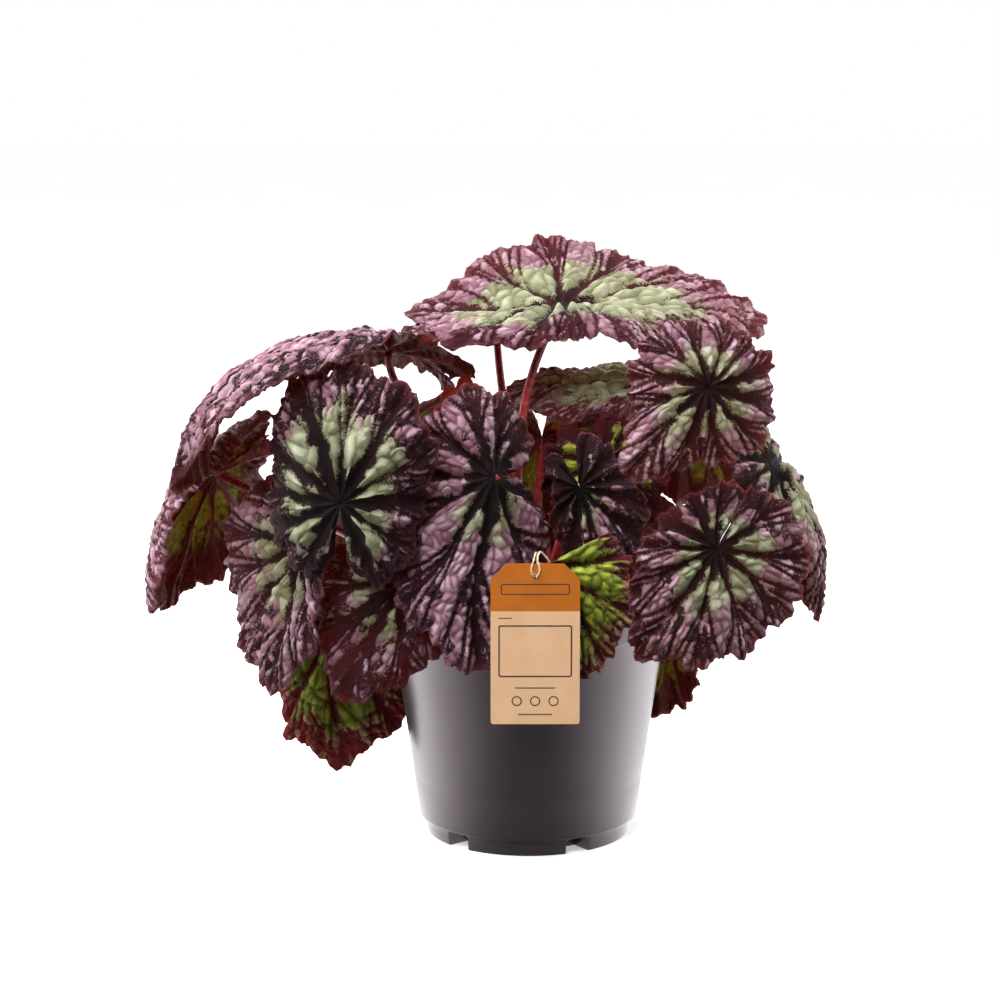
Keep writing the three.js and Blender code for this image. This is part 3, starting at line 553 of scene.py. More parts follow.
def blended(sides, angle):
    """A value given towards tip, left, base and right, joined for any angle about the stalk by two cosine
    waves."""
    tip, left, base, right = sides
    oval = (tip - left + base - right) / 4 * np.cos(2 * angle)
    mean = (tip + left + base + right) / 4
    return mean + oval + (tip - base) / 2 * np.cos(angle) + (left - right) / 2 * np.sin(angle)


def vein_index(degrees):
    """Which main vein an angle lies on: a whole number on a vein, a half midway between two."""
    return np.interp(degrees, VEIN_ANGLES, FIRST_VEIN + np.arange(len(VEIN_ANGLES)))


def blade_reach(leaf, degrees):
    """The blade's length at an angle: an oblique heart with a drawn-out tip, a notch behind and a lobe on
    each vein."""
    tip, *others = leaf["reach"]
    round_ = blended((tip / (1 + leaf["point"]), *others), np.radians(degrees))
    point = leaf["point"] * np.exp(-(degrees / 18) ** 2)
    notch = leaf["notch"] * np.exp(-((180 - np.abs(degrees)) / 15) ** 2)
    lobe = 0.045 * (np.cos(2 * np.pi * vein_index(degrees)) - 0.2)
    return round_ * (1 + point - notch + lobe)


def hub_axes(leaf):
    """The hub's directions towards the tip, towards the left side, and out of the upper face."""
    bearing, height = np.radians(leaf["face"])
    clock = math.radians(leaf["clock"])
    outward = np.array([math.cos(bearing), math.sin(bearing), 0.0])
    up = outward * math.cos(height) + np.array([0.0, 0.0, math.sin(height)])
    down = outward * math.sin(height) - np.array([0.0, 0.0, math.cos(height)])
    side = np.array([-math.sin(bearing), math.cos(bearing), 0.0])
    tip = down * math.cos(clock) + side * math.sin(clock)
    return tip, np.cross(up, tip), up


def step(low, high, values):
    """0 below low, 1 above high, and a smooth S between them."""
    share = np.clip((values - low) / (high - low), 0, 1)
    return share * share * (3 - 2 * share)


def ripple(places, pitch, seed):
    """A wandering wave of about the given pitch along a line, from -1 to 1: three sines that drift apart."""
    turns = 2 * np.pi * places / pitch
    slower = 0.6 * np.sin(turns * 0.61 + 9 * seed)
    return (np.sin(turns + 6 * seed) + slower + 0.4 * np.sin(turns * 1.73 + seed)) / 2


def margin(places, seed):
    """How far the margin's teeth stand out, in millimetres: blunt scallops with small sharp teeth on them."""
    scallop = np.abs(np.sin(np.pi * places / SCALLOP_PITCH + 1.2 * np.sin(places / 23 + seed)))
    tooth = np.abs((places / TOOTH_PITCH + 0.5 * np.sin(places / 7 + seed)) % 1 - 0.5) * 2
    return 2.6 * scallop * (1 + 0.5 * ripple(places, 31, seed)) + 0.7 * tooth ** 2 - 1.5


def pads(out, turn, size, seed):
    """The lumps between the veins, as cells round points thrown near the crossings of rings about the stalk
    and lines out from it, a whole number of them in each of the twelve sectors. Returns how deep inside its
    cell each place is, from 0 on a border, and its cell's number from 0 to 1. out is in millimetres, size
    is one cell's length and width."""
    length, width = size
    out = out + 0.22 * length * np.sin(5.1 * turn + 0.16 * out + seed)
    turn = turn + 0.03 * np.sin(0.37 * out + 3 * turn + seed)
    nearest = np.full(out.shape, 9.0)
    second = np.full(out.shape, 9.0)
    number = np.zeros(out.shape)
    for ring_step in (-1, 0, 1):
        ring = np.maximum(np.floor(out / length) + ring_step, 0)
        count = 12 * np.maximum(1, np.round(np.pi / 6 * (ring + 0.5) * length / width))
        for side_step in (-1, 0, 1):
            cell = np.floor((turn / (2 * np.pi) + 0.5) * count) + side_step
            middle = (ring + 0.5 + 0.7 * (chance(ring, cell, seed) - 0.5)) * length
            aim = cell + 0.5 + 0.6 * (chance(ring, cell, seed + 5) - 0.5)
            across = turn - (aim / count - 0.5) * 2 * np.pi
            away = np.hypot((out - middle) / length, out * across / width)
            away = np.where((ring_step < 0) & (np.floor(out / length) < 1), 9.0, away)
            second = np.where(away < nearest, nearest, np.minimum(second, away))
            number = np.where(away < nearest, chance(ring, cell, seed + 9), number)
            nearest = np.minimum(nearest, away)
    return second - nearest, number


def veins(out, share, degrees, seed):
    """How far each place is, in millimetres, from a main vein and from one of the veins that fork from it.
    Each main vein forks three times to each side, and each fork bends from it as a power of the way out."""
    main = np.full(out.shape, 99.0)
    forks = np.full(out.shape, 99.0)
    for number, centre in enumerate(VEIN_ANGLES):
        bend = 2.4 * np.sin(0.07 * out + 2.3 * number + seed)
        main = np.minimum(main, np.abs(out * np.radians(degrees - centre - bend)))
        for side, fork in ((side, fork) for side in (-1, 1) for fork in range(3)):
            start = (0.34, 0.5, 0.68)[fork] + 0.12 * (chance(number, side, fork + seed) - 0.5)
            spread = (13.0, 7.6, 3.6)[fork] * (0.8 + 0.4 * chance(number, fork, side + seed))
            offset = spread * side * np.clip((share - start) / (1 - start), 0, 1) ** 0.8
            away = np.abs(out * np.radians(degrees - centre - bend - offset))
            forks = np.minimum(forks, away + 6 * (1 - step(start - 0.02, start + 0.14, share)))
    return main, forks


def stalk_line(leaf, rings):
    """The stalk's centre line, a cubic Bezier: straight up out of the mix, then over to the hub from under
    it."""
    up = hub_axes(leaf)[2]
    hub = np.array(leaf["hub"], dtype=float)
    foot = np.array([*leaf["foot"], SOIL_LEVEL - 8])
    start = foot + 0.15 * (hub - foot)
    start[2] = foot[2] + 0.55 * max(hub[2] - foot[2], 40)
    end = hub - 26 * up + np.array(leaf["arch"])
    t = np.linspace(0, 1, rings)[:, None]
    last = hub - 0.1 * up
    return (1 - t) ** 3 * foot + 3 * t * (1 - t) ** 2 * start + 3 * t ** 2 * (1 - t) * end + t ** 3 * last


def hairs(roots, directions, lengths):
    """Bristles as slim tetrahedra, each a triangle of 0.2 mm drawn out to a point."""
    side = unit(np.cross(directions, np.array([0.31, 0.57, 0.76])))
    other = np.cross(directions, side)
    feet = [roots + 0.11 * (math.cos(turn) * side + math.sin(turn) * other) for turn in (0, 2.09, 4.19)]
    points = np.stack([*feet, roots + directions * lengths[:, None]], axis=1)
    faces = np.array([[0, 1, 3], [1, 2, 3], [2, 0, 3], [0, 2, 1]])
    return points.reshape(-1, 3), (faces[None] + 4 * np.arange(len(roots))[:, None, None]).reshape(-1, 3)


def leaf_fields(tree):
    """The three channels of each of the two fields that the blade's points carry, relief and zones."""
    return [node(tree, "SeparateColor", {"Color": node(tree, "VertexColor", layer_name=field)}).node.outputs
            for field in ("relief", "zones")]


def leaf_skin(tree, place, sages, roses, gaps, rim):
    """The upper face. The relief's own fields say where each place lies: on a pad or in a gap, how far out,
    how near a vein, and its tone, a painted highlight on each lump's crown and painted shade towards its
    creases, where the pads are also painted darker. Fine noise frays the edges of the pads into specks of
    about half a millimetre, as the hairs do."""
    relief, zones = leaf_fields(tree)
    speck = node(tree, "TexNoise", {"Vector": place, "Scale": 1000.0, "Detail": 5.0, "Roughness": 0.8})
    cloud = node(tree, "TexNoise", {"Vector": place, "Scale": 160.0, "Detail": 3.0})
    frayed = node(tree, "Math", {0: speck, 1: 2.4, 2: -1.2}, operation="MULTIPLY_ADD")
    pad_mask_with_painted_shade, rosy = (
        node(tree, "MapRange", {
            "Value": node(tree, "Math", {0: field["Red"], 1: frayed}), "From Min": 0.25, "From Max": highest,
        }, interpolation_type="SMOOTHSTEP") for field, highest in ((relief, 0.72), (zones, 0.75)))
    tone_and_painted_lump_light = node(tree, "Mix", {"Factor": 0.4, "A": relief["Green"], "B": cloud})
    sage, rose = (
        node(tree, "ValToRGB", {"Fac": tone_and_painted_lump_light}, tuple(zip((0.15, 0.5, 0.85), pads))) for pads in (sages, roses))
    gap = node(tree, "ValToRGB", {"Fac": zones["Green"]}, tuple(zip((0.0, 0.45, 1.0), gaps)))
    padded = node(tree, "Mix", {"Factor": rosy, "A": sage, "B": rose}, data_type="RGBA")
    skin = node(tree, "Mix", {"Factor": pad_mask_with_painted_shade, "A": gap, "B": padded}, data_type="RGBA")
    rimmed = node(tree, "Mix", {"Factor": zones["Blue"], "A": skin, "B": linear(rim)}, data_type="RGBA")
    rough = node(tree, "MapRange", {"Value": pad_mask_with_painted_shade, "To Min": 0.75, "To Max": 0.45})
    wrinkle = node(tree, "TexNoise", {"Vector": place, "Scale": 420.0, "Detail": 5.0, "Roughness": 0.7})
    return {"Base Color": rimmed, "Roughness": rough, "Height": wrinkle}


def leaf_back(tree, place):
    """The underside: oxblood between raised red veins, with light green patches where the pads lie thin,
    partly the underside's own green and partly painted light shining through the blade.
    """
    relief, zones = leaf_fields(tree)
    speck = node(tree, "TexNoise", {"Vector": place, "Scale": 700.0, "Detail": 4.0, "Roughness": 0.65})
    cloud = node(tree, "TexNoise", {"Vector": place, "Scale": 45.0, "Detail": 3.0, "Roughness": 0.6})
    inner = node(tree, "Math", {0: 1.5, 1: zones["Red"]}, operation="SUBTRACT")
    patch = node(tree, "Math", {0: inner, 1: relief["Red"]}, operation="MULTIPLY")
    patch = node(tree, "Math", {0: patch, 1: cloud}, operation="MULTIPLY")
    green = node(tree, "MapRange", {"Value": patch, "From Min": 0.24, "From Max": 0.5})
    flesh = node(tree, "ValToRGB", {"Fac": speck}, [(0.3, "#431612"), (0.5, "#6c261a"), (0.7, "#90442e")])
    lime = node(tree, "ValToRGB", {"Fac": speck}, [(0.3, "#7c7c20"), (0.7, "#b6be40")])
    skin = node(tree, "Mix", {"Factor": green, "A": flesh, "B": lime}, data_type="RGBA")
    veined = node(tree, "Mix", {
        "Factor": relief["Blue"], "A": skin, "B": linear("#6e1f20")}, data_type="RGBA")
    return {"Base Color": veined, "Height": speck}


def stalk_flesh(tree, place):
    """Fleshy stalk: clear dark red with paler streaks about a millimetre long, and a moist shine."""
    drawn = node(tree, "Mapping", {"Vector": place, "Scale": (1.0, 1.0, 0.35)})
    streak = node(tree, "TexNoise", {"Vector": drawn, "Scale": 900.0, "Detail": 3.0, "Roughness": 0.6})
    colour = node(tree, "ValToRGB", {"Fac": streak}, [(0.35, "#8c1c22"), (0.55, "#b43238"), (0.7, "#cc6a62")])
    return {"Base Color": colour, "Height": streak}


def bristle(tree, place):
    """Soft red hairs, some of them pale pink as a painted highlight."""
    mottle = node(tree, "TexNoise", {"Vector": place, "Scale": 300.0, "Detail": 2.0})
    colour = node(tree, "ValToRGB", {"Fac": mottle}, [(0.35, "#8a2a30"), (0.65, "#c98a86")])
    return {"Base Color": colour}


# The upper face's colours: three for the pads by the stalk, three for those further out, three for the
# gaps, from cool to warm, and the margin's. A silvered leaf has sage and dusty pink pads and near-black to
# oxblood gaps. One grown in the shade has little silver: green to lime pads and red gaps, their bright
# chartreuse and red partly the leaf's own and partly painted light shining through it from behind. An
# unfolding one is flame red to ochre.
# Each pad ramp runs from a lump's painted shade at its creases to its painted highlight at its crown, as its
# tone does.
LEAF_COLOURS = {
    "silvered": (("#474833", "#838466", "#c0c1a4"), ("#4c2a39", "#845a6a", "#cbacb7"),
                 ("#080405", "#1e0c11", "#3e1820"), "#58303a"),
    "green": (("#42521a", "#7c8a2a", "#b8c04c"), ("#5c3428", "#8a6a4a", "#b0a472"),
              ("#1c0b0c", "#40141a", "#6a1a1e"), "#7a2028"),
    "young": (("#8a5a26", "#a8842e", "#b9b04a"), ("#8a2f20", "#a84a2c", "#c0704a"),
              ("#4a1412", "#6c2018", "#8a2e1e"), "#9c3428"),
}
thin = dict(Subsurface_Weight=0.4, Subsurface_Radius=(1.0, 0.4, 0.25), Subsurface_Scale=0.0014)
leaf_finishes = {
    kind: finish(f"{kind} leaf skin", lambda tree, place: leaf_skin(tree, place, *colours), (0.6, 0.0012),
                 Specular_IOR_Level=0.12, **(dict(Subsurface_Weight=0.1) if kind == "silvered" else thin))
    for kind, colours in LEAF_COLOURS.items()
}
back_finish = finish(
    "leaf underside", leaf_back, (0.4, 0.0005), Roughness=0.5, Specular_IOR_Level=0.2, **thin)
stalk_finish = finish("fleshy stalk", stalk_flesh, (0.3, 0.0004), Roughness=0.35, **thin)
hair_finish = finish("leaf hairs", bristle, Roughness=0.5)


def blade_sheet(leaf, rows, degrees, places, seed):
    """The blade's middle surface, the way out along it and its normal. It runs out from the hub along each
    angle, its slope at each share of the way being cup, lift, droop and wave, its heading turned by swirl."""
    tip, left, up = hub_axes(leaf)
    angle = np.radians(degrees)
    share = (np.arange(rows)[:, None] + 0.5) / rows
    cup = leaf["cup"] * np.maximum(0, 1 - share / 0.35)
    wave = leaf["wave"] * np.sin(2.3 * vein_index(degrees) + leaf["reach"][0]) * share ** 2
    aside = (degrees / 180) ** 3
    sag = blended(leaf["droop"], angle) * share ** 1.5
    tilt = np.radians(cup + blended(leaf["lift"], angle) - sag + wave + leaf["layer"] * aside)
    heading = angle + np.radians(leaf["swirl"] + leaf["lap"] * aside) * share
    stretch = blade_reach(leaf, degrees) / rows + margin(places, seed) * (share > 0.88) / (0.12 * rows)
    along = (stretch * np.cos(tilt))[..., None]
    steps = along * (np.cos(heading)[..., None] * tip + np.sin(heading)[..., None] * left)
    steps += (stretch * np.sin(tilt))[..., None] * up
    surface = np.array(leaf["hub"], dtype=float) + np.cumsum(steps, axis=0)
    outward = unit(steps)
    return surface, outward, unit(np.cross(outward, np.gradient(surface, axis=1)))


def blade_relief(leaf, rows, degrees, places, seed):
    """How far ridges, pads, veins and ruffles move each point of the blade along its normal, how far the
    veins stand out below, and the relief and zones that the colours come from."""
    share = (np.arange(rows)[:, None] + 1.0) / rows
    angle = np.radians(degrees)
    index = vein_index(degrees)
    out = share * blade_reach(leaf, degrees)
    turn = np.broadcast_to(index * np.pi / 6, out.shape)
    bead_depth, bead_number = pads(out, turn, [leaf["grain"] * side for side in BEAD], seed)
    streak_depth, streak_number = pads(out, turn, STREAK, seed + 3)
    from_main, from_fork = veins(out, share, degrees, seed)
    wrinkled = step(leaf["silver"] - 0.12, leaf["silver"] + 0.12, share + 0.25 * (bead_number - 0.5))
    number = np.where(wrinkled < 0.5, bead_number, streak_number)
    bead = np.clip(bead_depth, 0, 1) ** 0.65
    streak = np.sqrt(np.clip(streak_depth, 0, 1))
    pillow = bead + wrinkled * (streak - bead)
    weight = 0.3 + 1.5 * chance(np.floor(index + 0.5), seed)
    dark_width = leaf["gap"] * weight * (0.5 + 2.0 * np.exp(-out / 13))
    dark_width = np.maximum(dark_width * (1 + 0.5 * ripple(out, 11, index + seed)), 0.4)
    valley = np.exp(-(from_main / (1.1 + 1.1 * dark_width)) ** 2)
    furrow = np.exp(-(from_fork / 1.0) ** 2)
    vein = np.maximum(np.exp(-(from_main / 0.8) ** 2), 0.8 * np.exp(-(from_fork / 0.6) ** 2))
    swell = 0.5 - np.cos(2 * np.pi * index) / 2
    ridge = RIDGE * (2 * swell - 1) * np.sin(np.pi * np.minimum(share, 0.85))
    grown = step(1.5, 10, out)
    lump = 2.2 * leaf["grain"] ** 0.5 * (1 - 0.15 * wrinkled) * (pillow - 0.4)
    rise = grown * (0.2 - 2.3 * valley - 0.8 * furrow + lump * (1 - valley))
    sway = 1.2 * np.sin(0.13 * out + 2 * angle + seed) * np.sin(3.1 * angle + 0.05 * out - seed)
    sway *= step(6, 25, out)
    ruffle = (2.2 * ripple(places, 14, seed) + 0.7 * ripple(places, 5.3, seed + 2)) * step(0.66, 1, share)
    height = ridge + rise * (1 - 0.4 * step(0.92, 1, share)) + sway + ruffle

    clear_of_veins = step(-0.9, 2.2, from_main - dark_width + 1.8 * (number - 0.4))
    clear_of_veins *= 1 - (0.4 + 0.6 * wrinkled) * furrow
    # Each pad's share is painted lower towards the creases between its lumps, so the gap colour there is
    # painted crease shade.
    bead_with_painted_crease_shade = 0.72 + 0.28 * bead
    streak_with_painted_crease_shade = 0.5 + 0.5 * step(0.0, 0.5, streak)
    pad_with_painted_shade = clear_of_veins * (bead_with_painted_crease_shade + wrinkled * (streak_with_painted_crease_shade - bead_with_painted_crease_shade))
    pad_with_painted_shade *= step(0.08, 0.3, share + 0.08 * (number - 0.5))
    drift = 0.5 + 0.5 * np.sin(0.11 * out + 4 * angle + seed) * np.sin(3 * angle - seed)
    patchy = share + 0.22 * (number - 0.5) + 0.1 * (drift - 0.5)
    pinkness = step(leaf["silver"] - 0.16, leaf["silver"] + 0.16, patchy)
    # The extra dark pads on a leaf's shade side are painted shade.
    shaded, half_width, strength = leaf["shade"]
    shade = strength * np.exp(-(((degrees - shaded + 180) % 360 - 180) / half_width) ** 2)
    dark = chance(number * 977, seed) < step(0.6, 1, wrinkled) * (leaf["bare"] * (0.5 + share) + shade)
    pad_with_painted_shade *= np.where(dark, 0.3, 1.0) * (1 - 0.35 * step(0.9, 0.99, share))
    # The tone is lighter on a lump's crown and darker down its sides, a painted highlight and painted shade,
    # with a random part for each lump.
    tone_and_painted_lump_light = 0.05 + 0.5 * pillow + 0.45 * chance(number * 331, seed)
    relief = np.stack([pad_with_painted_shade, tone_and_painted_lump_light, vein, np.ones(out.shape)], axis=-1)
    redness = np.clip(0.5 * share + 0.3 * (drift - 0.5) + leaf["warm"], 0, 1)
    rim = 0.5 * step(0.95, 1.0, share + 0.025 * ripple(places, 4, seed))
    zones = np.stack([pinkness, redness, rim, np.ones(out.shape)], axis=-1)
    return height, 0.35 * vein * grown, relief, zones


def blade_faces(rows, columns):
    """The faces of a blade whose points are a hub point and every row above, then a hub point and each third
    row below: its upper face, its underside, its rim and the two cut sides of its notch."""
    top = 1 + np.arange(rows * columns).reshape(rows, columns)
    low_hub = 1 + rows * columns
    low = low_hub + 1 + np.arange(rows // 3 * columns).reshape(rows // 3, columns)
    first_top = np.stack([np.zeros(columns - 1, dtype=int), top[0, :-1], top[0, 1:]], axis=-1)
    first_low = np.stack([np.full(columns - 1, low_hub), low[0, 1:], low[0, :-1]], axis=-1)
    rim = np.stack([top[-1, :-1], low[-1, :-1], low[-1, 1:], top[-1, 1:]], axis=-1)
    faces = [
        (lattice(rows, columns, first=1)[:, ::-1], 0), (first_top, 0),
        (lattice(rows // 3, columns, first=low_hub + 1), 1), (first_low, 1), (rim, 0),
    ]
    for column, turned in ((0, 1), (columns - 1, -1)):
        top_edge = np.concatenate([[0], top[:, column]])
        low_edge = np.concatenate([[low_hub], low[:, column]])
        k, j = np.arange(rows), np.arange(rows // 3)
        upper = np.stack([top_edge[k], low_edge[k // 3], top_edge[k + 1]], axis=-1)
        lower = np.stack([low_edge[j], low_edge[j + 1], top_edge[3 * (j + 1)]], axis=-1)
        faces += [(upper[:, ::turned], 1), (lower[:, ::turned], 1)]
    return faces


def stalk_tube(leaf):
    """The stalk, slimmer towards the blade and swollen a little where it joins it."""
    line = stalk_line(leaf, STALK_RINGS)
    climb = np.linspace(0, 1, STALK_RINGS)[:, None]
    turn = np.arange(STALK_SIDES)[None, :] * 2 * np.pi / STALK_SIDES
    thickness = STALK_FOOT_RADIUS + (STALK_TOP_RADIUS - STALK_FOOT_RADIUS) * climb
    thickness += 0.2 * step(0.96, 1.0, climb)
    chord = line[-1] - line[0]
    level = unit(np.array([chord[1], -chord[0], 0.0]))
    return tube(line, thickness * (1 + 0.04 * np.sin(3 * turn + 5 * climb)), STALK_SIDES, level)


def make_leaf(name, leaf, seed):
    """One leaf: the blade's two faces, each half a thickness off its middle surface, with the same distance
    between points all along its margin; its stalk; and the hairs on both."""
    rows, columns = leaf["grid"]
    fine = np.linspace(-leaf["wrap"], leaf["wrap"], 2000)
    round_margin = np.cumsum(blade_reach(leaf, fine) * np.radians(fine[1] - fine[0]))
    places = np.linspace(round_margin[0], round_margin[-1], columns)
    degrees = np.interp(places, round_margin, fine)
    surface, outward, normal = blade_sheet(leaf, rows, degrees, places, seed)
    height, rib, relief, zones = blade_relief(leaf, rows, degrees, places, seed)
    moved = surface + normal * height[..., None]
    upper = moved + normal * BLADE_THICKNESS / 2
    below = (moved - normal * (BLADE_THICKNESS / 2 + rib)[..., None])[2::3]
    hubs = np.array(leaf["hub"]) + np.array([[1], [-1]]) * hub_axes(leaf)[2] * BLADE_THICKNESS / 2
    stalk, stalk_out = stalk_tube(leaf)
    stalk_first = 2 + upper[..., 0].size + below[..., 0].size
    quads, caps = tube_faces(STALK_RINGS, STALK_SIDES, stalk_first)

    dense = rows > 80
    fringe = np.arange(0, columns, 1 if dense else 3)
    fringe_aim = unit(outward[-1, fringe] + 0.9 * (chance(fringe[:, None], np.arange(3), seed) - 0.5)
                      + 0.5 * normal[-1, fringe] * (chance(fringe, 7, seed) - 0.6)[:, None])
    pick = np.arange(220 if dense else 90)
    ring = (10 + chance(pick, 3, seed) * (STALK_RINGS - 11)).astype(int)
    side = (chance(pick, 4, seed) * STALK_SIDES).astype(int)
    stalk_aim = unit(stalk_out[ring, side] + 0.7 * (chance(pick[:, None], np.arange(3), seed + 1) - 0.5))
    roots = np.concatenate([(upper[-1, fringe] + below[-1, fringe]) / 2, stalk[ring, side]])
    lengths = 0.6 + 1.0 * chance(np.arange(len(roots)), 8, seed)
    hair_points, hair_faces = hairs(roots, np.concatenate([fringe_aim, stalk_aim]), lengths)

    points = [hubs[:1], upper, hubs[1:], below, stalk, hair_points]
    plain = np.tile([0.0, 0.5, 0.0, 1.0], (stalk[..., 0].size + len(hair_points), 1))
    fields = {
        field: np.concatenate([[at_hub], values.reshape(-1, 4), [at_hub], values[2::3].reshape(-1, 4), plain])
        for field, values, at_hub in (
            ("relief", relief, [0.0, 0.5, 1.0, 1.0]), ("zones", zones, [0.0, 0.3, 0.0, 1.0]))
    }
    piece(
        "blade_" + name,
        np.concatenate([part.reshape(-1, 3) for part in points]),
        [*blade_faces(rows, columns), (quads, 2), (caps, 2),
         (hair_faces + stalk_first + stalk[..., 0].size, 3)],
        [leaf_finishes[leaf["skin"]], back_finish, stalk_finish, hair_finish],
        "leaf_" + name,
        fields,
    )


for seed, (name, leaf) in enumerate(LEAVES.items()):
    make_leaf(name, {**PLAIN_LEAF, **leaf}, seed + 1.37)


# ---- Hang tag ----
# A die-cut card of coated board with its upper corners cut off and a punched hole: an orange band across
# its head, cream below, and a few plain marks in dark brown ink, printed on as a thin film.

TAG_CENTRE = 2.2
TAG_FACE = -92.0
TAG_BAND = 131.5  # the height at which orange gives way to cream
INK_FILM = 0.05
PRINT_SIDES = 64


def tag_card(tree, place):
    """Coated board: two flat printed colours with a dry, slightly worn edge between them, and fine paper
    fibre."""
    height = node(tree, "SeparateXYZ", {"Vector": place}).node.outputs["Z"]
    fibre = node(tree, "TexNoise", {"Vector": place, "Scale": 1300.0, "Detail": 4.0, "Roughness": 0.6})
    mottle = node(tree, "TexNoise", {"Vector": place, "Scale": 90.0, "Detail": 4.0})
    band = node(tree, "MapRange", {
        "Value": height, "From Min": TAG_BAND / 1000 - 0.0001, "From Max": TAG_BAND / 1000 + 0.0001})
    cream = node(tree, "ValToRGB", {"Fac": mottle}, [(0.35, "#f0c094"), (0.65, "#f5c89c")])
    orange = node(tree, "ValToRGB", {"Fac": mottle}, [(0.35, "#c46a14"), (0.65, "#cc721a")])
    skin = node(tree, "Mix", {"Factor": band, "A": cream, "B": orange}, data_type="RGBA")
    return {"Base Color": skin, "Height": fibre}


def ink(tree, place):
    """Dark brown printing ink, a little uneven where the board has drunk it."""
    drunk = node(tree, "TexNoise", {"Vector": place, "Scale": 700.0, "Detail": 4.0})
    return {"Base Color": node(tree, "ValToRGB", {"Fac": drunk}, [(0.4, "#3a1d10"), (0.7, "#55301c")])}


def print_loop(x, z, half_width, half_height, corner, stroke):
    """A closed rounded outline of the given stroke on the card's face: rings of points outside and inside,
    at the card and at the top of the ink. A corner as large as both halves makes a circle."""
    turn = np.linspace(0, 2 * np.pi, PRINT_SIDES, endpoint=False)
    rings = []
    for inset, rise in ((0, 0), (0, INK_FILM), (stroke, INK_FILM), (stroke, 0)):
        bend = max(corner - inset, 0.02)
        across = np.sign(np.cos(turn)) * (half_width - corner) + bend * np.cos(turn)
        along = np.sign(np.sin(turn)) * (half_height - corner) + bend * np.sin(turn)
        face = np.full(PRINT_SIDES, TAG_FACE - rise)
        rings.append(np.stack([TAG_CENTRE + x + across, face, z + along], axis=-1))
    return np.concatenate([*rings, rings[0]])


tag_finish = finish("coated board", tag_card, (0.15, 0.0002), Roughness=0.45)
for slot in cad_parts["tag"].material_slots:
    slot.material = tag_finish

# One write-in box where a name would stand, two ruled lines under it, a short one above it, and three small
# rings.
marks = [print_loop(0, 112.5, 17.2, 12.4, 1.2, 0.7), print_loop(0, 94.9, 9.5, 0.28, 0.27, 0.26),
         print_loop(0, 82.2, 8.0, 0.28, 0.27, 0.26), print_loop(-14.0, 128.2, 3.0, 0.25, 0.24, 0.23),
         print_loop(0, 142.0, 16.0, 2.6, 1.0, 0.55)]
marks += [print_loop(x, 88.6, 2.4, 2.4, 2.4, 0.55) for x in (-8.6, 0, 8.6)]
mark_faces = [(lattice(5, PRINT_SIDES, closed=True, first=5 * PRINT_SIDES * number), 0)
              for number in range(len(marks))]
ink_finish = finish("printing ink", ink, Roughness=0.6)
piece("tag_print", np.concatenate(marks), mark_faces, [ink_finish], None)


# ---- Tag string ----
# Thin two-ply cotton, cream, tied in a knot behind the card. Both strands come out through the hole, rise
# in front of the card and run back through a leaf's notch to join round its stalk.

STRING_RADIUS = 0.5
STRING_TWIST = 2.4  # one turn of the two plies
STRING_RINGS = 420
STRING_SIDES = 16
STRING_ROUTE = (
    (1.6, -90.2, 147.9), (1.55, -91.6, 147.8), (1.35, -92.7, 148.1), (0.5, -93.2, 150.0), (0.4, -93.2, 152.4),
    (1.3, -92.6, 155.5), (1.9, -90.9, 157.6), (2.4, -88.4, 158.3), (2.8, -85.6, 157.8), (3.0, -82.2, 155.2),
    (3.2, -80.2, 151.5), (4.2, -79.6, 147.9), (6.5, -79.3, 146.7), (8.8, -79.6, 147.6), (9.5, -80.0, 150.2),
    (8.4, -80.9, 153.4), (5.8, -82.0, 156.8), (4.35, -84.6, 158.1), (3.9, -88.2, 158.2), (3.4, -90.9, 157.5),
    (3.3, -92.6, 155.4), (4.1, -93.2, 152.4), (3.9, -93.2, 150.0), (3.05, -92.7, 148.1), (2.85, -91.6, 147.8),
    (2.8, -90.2, 147.9),
)
KNOT_CENTRE = (2.2, -89.9, 147.8)
KNOT_RADII = (1.9, 1.1, 1.6)
KNOT_PLY = 0.42
KNOT_RINGS = 160
KNOT_SIDES = 12


def smooth_line(route, steps):
    """Points along a Catmull-Rom spline through the route, and its length."""
    route = np.array(route)
    ends = np.concatenate([[2 * route[0] - route[1]], route, [2 * route[-1] - route[-2]]])
    t = np.linspace(0, len(route) - 1, steps)
    k = np.minimum(t.astype(int), len(route) - 2)
    u = (t - k)[:, None]
    a, b, c, d = ends[k], ends[k + 1], ends[k + 2], ends[k + 3]
    line = 2 * b + (c - a) * u + (2 * a - 5 * b + 4 * c - d) * u ** 2 + (3 * b - a - 3 * c + d) * u ** 3
    line = line / 2
    return line, np.linalg.norm(np.diff(line, axis=0), axis=1).sum()


def cotton(tree, place):
    """Cotton thread: cream, matt, with a fuzz of fibres too fine to model."""
    fuzz = node(tree, "TexNoise", {"Vector": place, "Scale": 2600.0, "Detail": 4.0, "Roughness": 0.7})
    colour = node(tree, "ValToRGB", {"Fac": fuzz}, [(0.3, "#c9b48f"), (0.6, "#ead9b8")])
    return {"Base Color": colour, "Height": fuzz}


